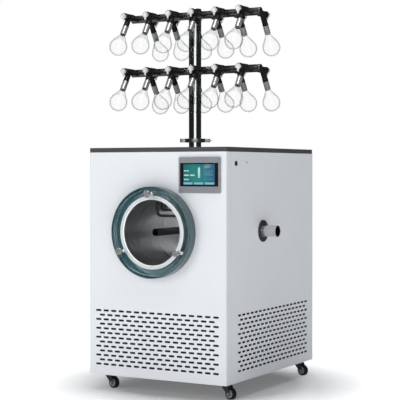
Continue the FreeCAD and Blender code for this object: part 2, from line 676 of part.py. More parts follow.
# two instrument pipes that enter through the right-hand wall and turn up at their ends
for k, (py, pz, px) in enumerate(((-215.0, 88.0, 52.0), (-215.0, 66.0, 40.0))):
    s = sketch(b, "probe_%d_outline" % k, "YZ_Plane", 0, zc, px)
    ring(s, py, pz, 4)
    pad(b, "probe_%d" % k, s, math.sqrt(146.0 ** 2 - pz ** 2) - px + 1.5)
    s = sketch(b, "probe_%d_end_outline" % k, "XY_Plane", 0, 0, zc + pz - 4)
    ring(s, px, py, 4)
    pad(b, "probe_%d_end" % k, s, 26)
keep(b, "chamber")

# foam jacket round the vessel
b = body("foam_jacket")
fi = P.vessel_rad + vw + P.foam_gap
s = sketch(b, "foam_profile", "YZ_Plane", 0, zc, 0)
outline(s, [(P.foam_front, fi), (P.foam_front, P.foam_rad), (P.foam_back, P.foam_rad), (P.foam_back, 0),
            (P.vessel_back + vw + P.foam_gap, 0), (P.vessel_back + vw + P.foam_gap, fi)])
spin(b, "foam_shell", s)
s = sketch(b, "foam_stub_hole", "XY_Plane", 0, 0, zc)
ring(s, 0, P.cross_back, rr + 0.3)
pocket(b, "foam_stub_cut", s, 260, back=True)
s = sketch(b, "foam_port_hole", "YZ_Plane", 0, 0, 0)
ring(s, P.cross_back, zc, P.port_rad + 0.3)
pocket(b, "foam_port_cut", s, 260, back=True)
keep(b, "chamber_insulation")

# ================================================================ door
# dish: one moulded ring, open to the front, with a floor round the neck and a seat on the panel
b = body("door_dish")
dw = P.dish_wall
di = P.dish_rad - dw
s = sketch(b, "dish_profile", "YZ_Plane", 0, zc, 0)
outline(s, [(-P.dish_face, di), (-P.dish_face, P.dish_rad), (-HALF_D, P.dish_rad), (-HALF_D, P.dish_seat),
            (-HALF_D - dw, P.dish_seat), (-HALF_D - dw, di), (-P.dish_floor + dw, di), (-P.dish_floor + dw, P.dish_hole),
            (-P.dish_floor, P.dish_hole), (-P.dish_floor, di)])
spin(b, "dish_shell", s)
fillet(b, "dish_lip", lambda e: round_edge(e, -P.dish_face.v, P.dish_rad.v) or round_edge(e, -P.dish_face.v, di.v), 1.3)
fillet(b, "dish_root", lambda e: round_edge(e, -P.dish_floor.v, di.v), 8)
s_h = sketch(b, "dish_stud_hole", "XZ_Plane", 0, zc, P.dish_floor)
ring(s_h, 0, P.stud_ring, P.pane_hole)
hole = pocket(b, "dish_stud_cut", s_h, 12, mid=True)
polar(b, "dish_stud_cuts", [hole], (s_h, ["N_Axis"]), 3)
keep(b, "door_surround")

# gasket on the neck's face
b = body("neck_seal")
s = sketch(b, "seal_profile", "YZ_Plane", 0, zc, 0)
seal_front = P.neck_face + P.seal_thick
block(s, -seal_front, P.seal_in, -P.neck_face, P.neck_rad)
spin(b, "seal_ring", s)
fillet(b, "seal_round", lambda e: round_edge(e, -seal_front.v, P.seal_in.v) or round_edge(e, -seal_front.v, P.neck_rad.v), 1.2)
keep(b, "door_gasket")

# clear round window, three stud holes
b = body("door_pane")
s = sketch(b, "pane_disc", "XZ_Plane", 0, zc, seal_front)
ring(s, 0, 0, P.pane_rad)
pad(b, "pane_blank", s, P.pane_thick)
fillet(b, "pane_edges", lambda e: isinstance(e.Curve, Part.Circle) and e.Curve.Radius > 100, 2)
s_h = sketch(b, "pane_stud_hole", "XZ_Plane", 0, zc, seal_front + P.pane_thick / 2)
ring(s_h, 0, P.stud_ring, P.pane_hole)
hole = pocket(b, "pane_stud_cut", s_h, 40, mid=True)
polar(b, "pane_stud_cuts", [hole], (s_h, ["N_Axis"]), 3)
keep(b, "door_window")

# three star grips that run on the studs
grip_back = seal_front + P.pane_thick + P.grip_gap
for k, deg in enumerate((90.0, 210.0, 330.0)):
    b = body("star_grip_%d" % (k + 1))
    s = sketch(b, "grip_profile_%d" % k, "YZ_Plane", 0, 0, 0)
    r0, r1 = P.grip_hub, P.grip_rad
    outline(s, [(-grip_back, 0), (-grip_back, r0), (-grip_back - 7, r0), (-grip_back - 8, r1 - 1.5), (-grip_back - 9.5, r1),
                (-grip_back - P.grip_long + 3, r1), (-grip_back - P.grip_long + 1, r1 - 2), (-grip_back - P.grip_long, r1 - 6),
                (-grip_back - P.grip_long, 0)])
    spin(b, "grip_turned_%d" % k, s)
    s_c = sketch(b, "grip_scallop_%d" % k, "XZ_Plane", 0, 0, grip_back + 7.5)
    ring(s_c, 0, r1 + 3, 6)
    sc = pocket(b, "grip_scallop_cut_%d" % k, s_c, P.grip_long, back=True)
    polar(b, "grip_scallops_%d" % k, [sc], (s_c, ["N_Axis"]), 6)
    s_b = sketch(b, "grip_bore_%d" % k, "XZ_Plane", 0, 0, grip_back)
    ring(s_b, 0, 0, P.grip_bore)
    pocket(b, "grip_bore_cut_%d" % k, s_b, P.stud_tip - grip_back + 2, back=True)
    a = math.radians(deg)
    keep(b, "door_knob_%d" % (k + 1), 0.0, P.stud_ring * math.cos(a), 0, zc + P.stud_ring * math.sin(a))

# grommet round the side port
b = body("port_grommet")
s = sketch(b, "grommet_profile", "XZ_Plane", 0, zc, -P.cross_back)
gi = P.collar_rad + 0.15
outline(s, [(HALF_W, P.grommet_rad), (HALF_W, P.panel_bore - 0.2), (HALF_W - 5, P.panel_bore - 0.2), (HALF_W - 5, gi),
            (HALF_W + P.grommet_thick, gi), (HALF_W + P.grommet_thick, P.grommet_rad - 1.5), (HALF_W + P.grommet_thick - 1.5, P.grommet_rad)])
spin(b, "grommet_ring", s)
keep(b, "side_port_grommet")

# ================================================================ manifold on its riser
# All of these are drawn about the riser's axis and then moved back by cross_back.
hw = P.head_wall
outer = [rod("riser_out", 0, 0, P.flange_mid + P.flange_gap, rr, P.riser_top - P.flange_mid - P.flange_gap),
         rod("riser_rim", 0, 0, P.flange_mid + P.flange_gap, P.flange_rad, P.flange_rim - P.flange_gap),
         taper("riser_cone", 0, 0, P.flange_mid + P.flange_rim, P.flange_rad, rr, P.flange_root - P.flange_rim)]
inner = [rod("riser_in", 0, 0, P.flange_mid - 5, rr - rw, P.riser_top - rw - P.flange_mid + 5)]
for lvl, hz in enumerate((P.head_up, P.head_up - P.head_drop)):
    outer.append(rod("header_out_%d" % lvl, -P.head_half, 0, hz, P.head_rad, P.head_half * 2, "X"))
    inner.append(rod("header_in_%d" % lvl, -P.head_half + hw, 0, hz, P.head_rad - hw, (P.head_half - hw) * 2, "X"))
    for k in range(6):
        x = -P.port_first + P.port_pitch * k
        outer.append(rod("nipple_out_%d_%d" % (lvl, k), x, -P.nip_reach, hz, P.nip_rad, P.nip_reach * 2, "Y"))
        inner.append(rod("nipple_in_%d_%d" % (lvl, k), x, -P.nip_reach - 1, hz, P.nip_bore, P.nip_reach * 2 + 2, "Y"))
keep(cut("manifold_weldment", fuse("manifold_out", outer), fuse("manifold_in", inner)), "manifold", 0.0, 0, P.cross_back, 0)


def ports(b, name, feats):
    """One piece at every port: six along X, two levels, front and back of the header."""
    return rows(b, name, feats, "X_Axis", P.port_pitch * 5, 6, "Z_Axis", P.head_drop, 2, c_back=True, mirror="XZ_Plane")


def outlet_sketch(b, name):
    """Plane through the first port; its own -V axis runs down and out along the outlet."""
    return sketch(b, name, "YZ_Plane", -P.tee_at, P.head_up, -P.port_first, turn=-P.arm_tilt.v)


# rubber valve bodies: sleeve on the nipple, barrel for the plug, tilted outlet arm
b = body("valve_rubber", many=True)
x0, z0 = -P.port_first, P.head_up
s = sketch(b, "valve_profile", "YZ_Plane", 0, z0, x0)
outline(s, [(-P.sleeve_in, 0), (-P.sleeve_in, P.sleeve_rad + 1.5), (-P.sleeve_in - 5, P.sleeve_rad + 1.5), (-P.sleeve_in - 6, P.sleeve_rad),
            (-P.barrel_in + 4, P.sleeve_rad), (-P.barrel_in, P.barrel_rad), (-P.barrel_out + 6, P.barrel_rad),
            (-P.barrel_out + 5, P.barrel_rad + 1), (-P.barrel_out + 1, P.barrel_rad + 1), (-P.barrel_out, P.barrel_rad), (-P.barrel_out, 0)])
v1 = spin(b, "valve_barrel", s)
s = outlet_sketch(b, "arm_profile")
outline(s, [(0, 0), (P.arm_rad, 0), (P.arm_rad, -P.arm_long + 6), (P.arm_rad + 1, -P.arm_long + 5), (P.arm_rad + 1, -P.arm_long + 1),
            (P.arm_rad, -P.arm_long), (0, -P.arm_long)])
v2 = spin(b, "valve_arm", s, "V_Axis")
s = sketch(b, "valve_bore_profile", "YZ_Plane", 0, z0, x0)
outline(s, [(-P.sleeve_in + 1, 0), (-P.sleeve_in + 1, P.nip_rad + 0.15), (-P.nip_reach - 0.5, P.nip_rad + 0.15), (-P.nip_reach - 0.5, 5),
            (-P.plug_in + 1, 5), (-P.plug_in + 1, P.plug_bore), (-P.barrel_out - 1, P.plug_bore), (-P.barrel_out - 1, 0)])
v3 = groove(b, "valve_bore", s)
s = outlet_sketch(b, "arm_bore_profile")
outline(s, [(0, 0), (6, 0), (6, -P.stem_in + 1), (P.stem_rad + 0.15, -P.stem_in + 1), (P.stem_rad + 0.15, -P.arm_long - 1), (0, -P.arm_long - 1)])
v4 = groove(b, "arm_bore", s, "V_Axis")
ports(b, "valve_ports", [v1, v2, v3, v4])
keep(b, "valve_bodies", 0.0, 0, P.cross_back, 0)

# turned adapters: stem up into the rubber arm, cup below for the flask's neck
b = body("adapter_turned", many=True)
s = outlet_sketch(b, "adapter_profile")
outline(s, [(P.stem_bore, -P.stem_in), (P.stem_rad, -P.stem_in), (P.stem_rad, -P.arm_long - 0.2), (P.adapt_rad - 0.8, -P.arm_long - 0.2),
            (P.adapt_rad, -P.arm_long - 1), (P.adapt_rad, -P.adapt_end + 0.8), (P.adapt_rad - 0.8, -P.adapt_end), (P.cup_rad, -P.adapt_end),
            (P.cup_rad, -P.cup_in), (P.stem_bore, -P.cup_in)])
a1 = spin(b, "adapter", s, "V_Axis")
ports(b, "adapter_ports", [a1])
keep(b, "port_adapters", 0.0, 0, P.cross_back, 0)

# blown glass flasks: short neck in the cup, a collar below it, straight shoulder tangent to a round bulb
b = body("flask_glass", many=True)


def tangent(px, py, cy, r):
    """Where the line from (px, py) touches the right side of a circle at (0, cy)."""
    d = math.hypot(px, py - cy)
    base = math.atan2(py - cy, px)
    off = math.acos(r / d)
    a = base - off
    return r * math.cos(a), cy + r * math.sin(a)


g = P.glass.v
bulb, br = -P.bulb_at.v, P.bulb_rad.v
sh = -P.adapt_end.v - 4.0
nw = P.neck_wide.v
tx, ty = tangent(nw, sh, bulb, br)
ix, iy = tangent(nw - g, sh, bulb, br - g)
s = outlet_sketch(b, "flask_profile")
outline(s, [(P.neck_out - P.glass, -P.neck_in_at), (P.neck_out, -P.neck_in_at), (P.neck_out, -P.adapt_end - 1),
            (P.neck_wide, -P.adapt_end - 4), (tx, ty),
            (0, -P.bulb_at - P.bulb_rad, (br * math.cos(math.radians(-40)), bulb + br * math.sin(math.radians(-40))), True),
            (0, -P.bulb_at - P.bulb_rad + P.glass),
            (ix, iy, ((br - g) * math.cos(math.radians(-40)), bulb + (br - g) * math.sin(math.radians(-40))), True),
            (P.neck_wide - P.glass, -P.adapt_end - 4), (P.neck_out - P.glass, -P.adapt_end - 1)])
f1 = spin(b, "flask", s, "V_Axis")
ports(b, "flask_ports", [f1])
keep(b, "flasks", 0.0, 0, P.cross_back, 0)

# plug knobs, one at every port: round head, pointer tail down, short nub up, plug stem behind
for lvl, (lname, hz) in enumerate((("upper", P.head_up), ("lower", P.head_up - P.head_drop))):
    for side, sname in ((-1, "front"), (1, "rear")):
        for k in range(6):
            t = "%s_%s_%d" % (lname, sname, k + 1)
            way = "Y" if side > 0 else "-Y"
            ball = globe("knob_ball_" + t, 0, side * P.ball_at, 0, P.ball_rad)
            face = rod("knob_collar_" + t, 0, side * (P.barrel_out + 0.8), 0, 8.5, P.ball_at - P.barrel_out - 2, way)
            stem = rod("knob_stem_" + t, 0, side * P.plug_in, 0, P.plug_rad, P.ball_at - P.plug_in, way)
            tail = taper("knob_tail_" + t, 0, side * P.ball_at, -P.tail_long + 3.5, 3.5, 8.5, P.tail_long - 3.5)
            tip = globe("knob_tip_" + t, 0, side * P.ball_at, -P.tail_long + 3.5, 3.5)
            nub = rod("knob_nub_" + t, 0, side * P.ball_at, 0, 3, P.nub_long - 3)
            cap = globe("knob_cap_" + t, 0, side * P.ball_at, P.nub_long - 3, 3)
            keep(fuse("knob_" + t, [ball, face, stem, tail, tip, nub, cap]), "valve_knob_" + t, 0.0,
                 -P.port_first + P.port_pitch * k, P.cross_back, hz)

# ================================================================ clamp on the riser's flanges
# Two cast halves hinged on a pin at the left and drawn together by a swing bolt at the right.
# Drawn with the hinge on -X; turned about the riser so that the wing nut faces forward.
TURN = 29.4
zf = P.flange_mid
b = body("clamp_ring")
s = sketch(b, "clamp_profile", "XZ_Plane", 0, zf, 0)
outline(s, [(47, -8.5), (47, 8.5), (31, 8.5), (31, 5.3), (37.9, 3.4), (37.9, -3.4), (31, -5.3), (31, -8.5)])
spin(b, "clamp_turned", s, "V_Axis")
ring_obj = b
lug_l = box("clamp_lug_left", -62, -8, zf - 8.5, 17, 16, 17)
lug_r = box("clamp_lug_right", 44, -9, zf - 8.5, 27, 18, 17)
knuckle = rod("clamp_knuckle", -61, 0, zf - 8.5, 8, 17)
whole = fuse("clamp_cast", [ring_obj, lug_l, lug_r, knuckle])
# split between the halves, with the hinge's middle knuckle belonging to the rear half
gap_ring = box("clamp_split", -53, -0.5, zf - 10, 130, 1, 20)
f_mid = box("clamp_front_notch", -72, -20, zf - 3.0, 19, 19.99, 6.0)
front_keep = box("clamp_front_space", -53, -60, zf - 10, 140, 59.5, 20)
front_knuck = fuse("clamp_front_knuckles", [box("ck_top", -72, -10, zf + 3.0, 19, 20, 6), box("ck_low", -72, -10, zf - 9.0, 19, 20, 6)])
rear_keep = box("clamp_rear_space", -53, 0.5, zf - 10, 140, 59.5, 20)
rear_knuck = box("ck_mid", -72, -10, zf - 2.8, 19.0, 20, 5.6)
pin_hole = rod("clamp_pin_hole", -61, 0, zf - 10, 3.0, 20)
bolt_hole = rod("clamp_bolt_hole", P.bolt_out, -20, zf, 3.4, 19.0, "Y")


def common(name, a, c):
    o = doc.addObject("Part::Common", name)
    o.Base = a
    o.Tool = c
    return o


front_half = cut("clamp_front_half", common("clamp_front_raw", whole, fuse("clamp_front_zone", [front_keep, front_knuck])),
                 fuse("clamp_front_holes", [pin_hole, bolt_hole]))
bolt = rod("clamp_bolt", P.bolt_out, 5, zf, 3.0, 33, "-Y")
rear_half = cut("clamp_rear_half", common("clamp_rear_raw", whole, fuse("clamp_rear_zone", [rear_keep, rear_knuck])),
                rod("clamp_pin_hole_b", -61, 0, zf - 10, 3.0, 20))
rear_bolted = fuse("clamp_rear_bolted", [rear_half, bolt])
hinge_pin = rod("clamp_hinge_pin", -61, 0, zf - 8.5, 2.9, 17)
c = doc.addObject("Part::Compound", "clamp_set")
c.Links = [front_half, rear_bolted, hinge_pin]
keep(c, "riser_clamp", TURN, 0, P.cross_back, 0)

b = body("wing_nut")
s = sketch(b, "wing_hub_profile", "YZ_Plane", 0, 0, 0)
outline(s, [(-9.2, 0), (-9.2, 6.5), (-12, 6.5), (-20, 5), (-20, 0)])
spin(b, "wing_hub", s)
s = sketch(b, "wing_blade", "XZ_Plane", 0, 0, 11)
outline(s, [(-14, 1.6), (-14, -1.6), (14, -1.6), (14, 1.6)])
pad(b, "wing_blades", s, 12)
fillet(b, "wing_round", lambda e: len(e.Vertexes) == 2 and abs(abs(e.Vertexes[0].Point.x) - 14) < 1e-3 and abs(abs(e.Vertexes[1].Point.x) - 14) < 1e-3
       and abs(e.Vertexes[0].Point.z - e.Vertexes[1].Point.z) > 1, 5)
s = sketch(b, "wing_bore", "XZ_Plane", 0, 0, 15)
ring(s, 0, 0, 3.06)
pocket(b, "wing_bore_cut", s, 40, mid=True)
tr = math.radians(TURN)
keep(b, "clamp_wing_nut", TURN, P.bolt_out * math.cos(tr), P.cross_back + P.bolt_out * math.sin(tr), zf)

# ================================================================ push button on the right side
b = body("button_turned")
s = sketch(b, "button_profile", "XZ_Plane", 0, P.button_high, -P.button_back)
outline(s, [(HALF_W - 34, 0), (HALF_W - 34, 5), (HALF_W - 5, 5), (HALF_W - 5, P.button_rad), (HALF_W + 2, P.button_rad),
            (HALF_W + 3, P.button_rad - 1.2), (HALF_W + 3, 0)])
spin(b, "button_cap", s)
keep(b, "power_button")

# ================================================================ castors
# Fork with its grip stem and swaged axle; wheel that runs on the axle. Drawn with the swivel
# axis on Z and the wheel trailing along +X.
tr_c = P.castor_turn.v
for tag, cx, cy in CASTORS:
    lg, lt = P.leg_gap, P.leg_thick
    stem = rod("fork_stem_" + tag, 0, 0, 62, P.pivot_rad, 42)
    cup = rod("fork_cup_" + tag, 0, 0, 60, 19, 7)
    race = taper("fork_race_" + tag, 0, 0, 67, 17, 13, 4)
    crown = box("fork_crown_" + tag, -14, -lg - lt, 56, 34, (lg + lt) * 2, 4.5)
    bits = [stem, cup, race, crown]
    for sy, nm in ((-1, "a"), (1, "b")):
        lb = body("fork_leg_%s_%s" % (nm, tag))
        y_in = lg if sy > 0 else lg + lt
        s = sketch(lb, "leg_outline_%s_%s" % (nm, tag), "XZ_Plane", 0, 0, -y_in * sy if sy > 0 else y_in)
        outline(s, [(-14, 60), (-14, 52), (P.trail - 8, P.wheel_rad - 3), (P.trail, P.wheel_rad - 8, (P.trail.v - 4.6, P.wheel_rad.v - 6.6)),
                    (P.trail + 8, P.wheel_rad, (P.trail.v + 5.66, P.wheel_rad.v - 5.66)), (20, 60)])
        pad(lb, "leg_pad_%s_%s" % (nm, tag), s, lt, back=True)
        bits.append(lb)
    axle = rod("fork_axle_" + tag, P.trail, -lg - lt - 1.5, P.wheel_rad, P.axle_rad, (lg + lt + 1.5) * 2, "Y")
    bits.append(axle)
    keep(fuse("fork_" + tag, bits), "castor_fork_" + tag, tr_c, cx, cy, 0)

    wb = body("wheel_" + tag)
    s = sketch(wb, "wheel_profile_" + tag, "YZ_Plane", 0, P.wheel_rad, P.trail)
    hwid = P.wheel_wide / 2
    ab = P.axle_rad + 0.05
    outline(s, [(-hwid, ab), (-hwid, 9), (-hwid + 3, 10), (-hwid + 3, 17), (-hwid + 0.5, 18.5), (-hwid + 0.5, P.wheel_rad - 3),
                (-hwid + 3, P.wheel_rad), (hwid - 3, P.wheel_rad), (hwid - 0.5, P.wheel_rad - 3), (hwid - 0.5, 18.5), (hwid - 3, 17),
                (hwid - 3, 10), (hwid, 9), (hwid, ab)])
    spin(wb, "wheel_turned_" + tag, s)
    keep(wb, "castor_wheel_" + tag, tr_c, cx, cy, 0)

# ================================================================ refrigeration set on the base tray
floor = P.panel_foot + P.angle_wall + P.tray_thick
ct = floor + 18
shell = rod("comp_shell", P.comp_x, P.comp_y, ct + 30, P.comp_rad, P.comp_high - 60)
dome_t = doc.addObject("Part::Ellipsoid", "comp_dome_top")
dome_b = doc.addObject("Part::Ellipsoid", "comp_dome_low")
for d, zz in ((dome_t, ct + P.comp_high - 30), (dome_b, ct + 30)):
    d.Radius1 = 30.0
    d.Radius2 = P.comp_rad.v
    d.Radius3 = P.comp_rad.v
    d.setExpression("Radius2", P.comp_rad.t)
    d.setExpression("Radius3", P.comp_rad.t)
    place(d, P.comp_x, P.comp_y, zz)
seam = rod("comp_seam", P.comp_x, P.comp_y, ct + P.comp_high / 2, P.comp_rad + 4, 5)
foot = box("comp_base", P.comp_x - 95, P.comp_y - 70, ct - 3, 190, 140, 5)
feet = [rod("comp_foot_%d" % i, P.comp_x + sx * 80, P.comp_y + sy * 56, floor, 11, 16) for i, (sx, sy) in
        enumerate(((-1, -1), (-1, 1), (1, -1), (1, 1)))]
term = box("comp_terminal", P.comp_x - P.comp_rad - 22, P.comp_y - 24, ct + 70, 44, 48, 50)
pipe_s = rod("comp_suction", P.comp_x + 30, P.comp_y, ct + P.comp_high - 15, 8, 60)
pipe_d = rod("comp_discharge", P.comp_x - 30, P.comp_y, ct + P.comp_high - 15, 5, 60)
keep(fuse("compressor_set", [shell, dome_t, dome_b, seam, foot, term, pipe_s, pipe_d] + feet), "compressor")

# condenser: finned block with end plates, shroud and the fan's motor on three arms
cxl = P.coil_x - P.coil_wide / 2
core = box("coil_core", cxl + 6, P.coil_front + 2, P.coil_low + 8, P.coil_wide - 12, P.coil_deep - 4, P.coil_high - 16)
endl = box("coil_end_left", cxl, P.coil_front, P.coil_low, 6.5, P.coil_deep, P.coil_high)
endr = box("coil_end_right", cxl + P.coil_wide - 6.5, P.coil_front, P.coil_low, 6.5, P.coil_deep, P.coil_high)
capt = box("coil_top", cxl, P.coil_front, P.coil_low + P.coil_high - 8, P.coil_wide, P.coil_deep, 8)
capb = box("coil_foot", cxl, P.coil_front, floor, P.coil_wide, P.coil_deep, P.coil_low - floor + 8.5)
sy0 = P.coil_front + P.coil_deep
plate = box("shroud_plate", cxl, sy0 - 0.5, P.coil_low, P.coil_wide, 2.5, P.coil_high)
fcz = P.coil_low + P.coil_high / 2
mouth = rod("shroud_mouth", P.coil_x, sy0 + 0.05, fcz, P.fan_rad + 6, 42, "Y")
mouth_o = rod("shroud_ring", P.coil_x, sy0, fcz, P.fan_rad + 9, 38, "Y")
motor = rod("fan_motor", P.coil_x, sy0 + 44, fcz, 34, 46, "Y")
m_bore = rod("fan_motor_bore", P.coil_x, sy0 + 40, fcz, 4.06, 24, "Y")
arms = []
for i in range(3):
    a = math.radians(90 + 120 * i)
    arm = doc.addObject("Part::Box", "motor_arm_%d" % i)
    arm.Length = P.fan_rad.v + 7
    arm.Width = 4
    arm.Height = 12
    # each arm is a strip that starts inside the motor and ends on the shroud's ring
    place(arm, P.coil_x, sy0 + 46, fcz, Rotation(Vector(0, 1, 0), -math.degrees(a)))
    arms.append(arm)
    tip_x, tip_z = math.cos(a) * (P.fan_rad.v + 3), math.sin(a) * (P.fan_rad.v + 3)
    tie = rod("motor_tie_%d" % i, P.coil_x + tip_x, sy0 + 30, fcz + tip_z, 5, 20, "Y")
    arms.append(tie)
solid_shroud = cut("shroud_open", fuse("shroud_blank", [plate, mouth_o]), mouth)
block_coil = fuse("coil_block", [core, endl, endr, capt, capb, solid_shroud] + [motor] + arms)
keep(cut("condenser_set", block_coil, m_bore), "condenser")

# fan: hub, five pitched blades and the shaft that runs in the motor
hub = rod("fan_hub", P.coil_x, sy0 + 8, fcz, 26, 22, "Y")
shaft = rod("fan_shaft", P.coil_x, sy0 + 20, fcz, 4.0, 42, "Y")
blades = []
for i in range(5):
    a = 72.0 * i
    bl = doc.addObject("Part::Box", "fan_blade_%d" % i)
    bl.Length = P.fan_rad.v - 20
    bl.Width = 2.0
    bl.Height = 62
    turn_z = Rotation(Vector(0, 1, 0), -a)
    pitch = Rotation(Vector(1, 0, 0), 20)
    rot = turn_z.multiply(pitch)
    start = turn_z.multVec(Vector(20, 0, 0)) - rot.multVec(Vector(0, 1.0, 31))
    place(bl, P.coil_x + start.x, sy0 + 17 + start.y, fcz + start.z, rot)
    blades.append(bl)
keep(fuse("fan_rotor", [hub, shaft] + blades), "condenser_fan")

# ================================================================ power inlet on the rear panel
b = body("inlet_socket")
s = sketch(b, "inlet_body", "XZ_Plane", P.inlet_x, P.inlet_high, -(rear_y - P.skin) - 0.0)
block(s, -P.inlet_wide / 2 + 0.4, -P.inlet_tall / 2 + 0.4, P.inlet_wide / 2 - 0.4, P.inlet_tall / 2 - 0.4)
pad(b, "inlet_block", s, 26, back=False)
s = sketch(b, "inlet_neck", "XZ_Plane", P.inlet_x, P.inlet_high, -(rear_y - P.skin))
block(s, -P.inlet_wide / 2 + 0.4, -P.inlet_tall / 2 + 0.4, P.inlet_wide / 2 - 0.4, P.inlet_tall / 2 - 0.4)
pad(b, "inlet_neck_pad", s, P.skin + 0.05, back=True)
keep(b, "power_inlet")

# ---------------------------------------------------------------- checks and export
doc.recompute()
bad = []
for o in doc.Objects:
    st = [x for x in o.State if x in ("Invalid", "Error")]
    if st:
        bad.append("%s: %s" % (o.Name, ",".join(st)))
for o in NODES:
    if o.Shape.isNull() or not o.Shape.isValid() or not o.Shape.Solids:
        bad.append("%s: bad shape" % o.Label)
if bad:
    raise RuntimeError("; ".join(bad))
names = [o.Label for o in NODES]
if len(set(names)) != len(names) or len(names) > 60:
    raise RuntimeError("node names: %d, %d different" % (len(names), len(set(names))))
os.makedirs("parts", exist_ok=True)
lo, hi = [1e9] * 3, [-1e9] * 3
for o in NODES:
    bb = o.Shape.BoundBox
    for i, (p, q) in enumerate(((bb.XMin, bb.XMax), (bb.YMin, bb.YMax), (bb.ZMin, bb.ZMax))):
        lo[i] = min(lo[i], p)
        hi[i] = max(hi[i], q)
    o.Shape.exportStep("parts/%s.step" % o.Label)
    print("%-26s solids %2d  volume %11.1f  x %7.1f..%7.1f  y %7.1f..%7.1f  z %7.1f..%7.1f" %
          (o.Label, len(o.Shape.Solids), o.Shape.Volume, bb.XMin, bb.XMax, bb.YMin, bb.YMax, bb.ZMin, bb.ZMax))
print("nodes", len(NODES), "box", [round(v, 2) for v in lo], [round(v, 2) for v in hi])
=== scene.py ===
import json
import math
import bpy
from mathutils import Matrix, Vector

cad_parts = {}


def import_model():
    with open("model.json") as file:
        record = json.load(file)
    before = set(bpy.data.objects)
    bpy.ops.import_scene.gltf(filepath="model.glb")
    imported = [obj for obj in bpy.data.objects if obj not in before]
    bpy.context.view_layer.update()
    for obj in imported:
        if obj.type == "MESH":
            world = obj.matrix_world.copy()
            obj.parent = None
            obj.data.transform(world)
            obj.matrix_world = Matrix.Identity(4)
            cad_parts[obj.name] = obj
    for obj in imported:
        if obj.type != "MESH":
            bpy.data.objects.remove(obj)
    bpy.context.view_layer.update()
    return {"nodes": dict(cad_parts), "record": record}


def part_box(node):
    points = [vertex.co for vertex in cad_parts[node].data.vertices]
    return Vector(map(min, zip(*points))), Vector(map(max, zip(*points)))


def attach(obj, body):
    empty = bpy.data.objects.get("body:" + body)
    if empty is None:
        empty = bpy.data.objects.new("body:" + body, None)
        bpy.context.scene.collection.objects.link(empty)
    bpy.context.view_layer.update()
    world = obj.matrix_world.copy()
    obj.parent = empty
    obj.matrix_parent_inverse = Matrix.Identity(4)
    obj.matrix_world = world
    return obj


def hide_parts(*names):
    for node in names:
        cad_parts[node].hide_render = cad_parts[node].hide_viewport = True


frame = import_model()

import bmesh
import bpy
from mathutils import Matrix, Vector

NODES = frame["nodes"]
BASE = "cabinet"

# ------------------------------------------------------------------ placing
lo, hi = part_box("worktop")
OX, OY = (lo.x + hi.x) / 2, (lo.y + hi.y) / 2
TOP = hi.z


def C(x, y, z):
    """A point given in millimetres from the middle of the cabinet, in the frame's metres."""
    return Vector((OX + x / 1000.0, OY + y / 1000.0, z / 1000.0))


# ------------------------------------------------------------------ camera
cam_data = bpy.data.cameras.new("camera")
cam = bpy.data.objects.new("camera", cam_data)
bpy.context.scene.collection.objects.link(cam)
cam.location = (2.8281, -5.0691, 0.98316)
cam.rotation_euler = (math.radians(90.0), 0.0, math.radians(29.4245))
cam_data.sensor_width = 36.0
cam_data.lens = 112.753
cam_data.shift_x = -0.00446
cam_data.shift_y = -0.0722
cam_data.clip_end = 200.0
bpy.context.scene.camera = cam


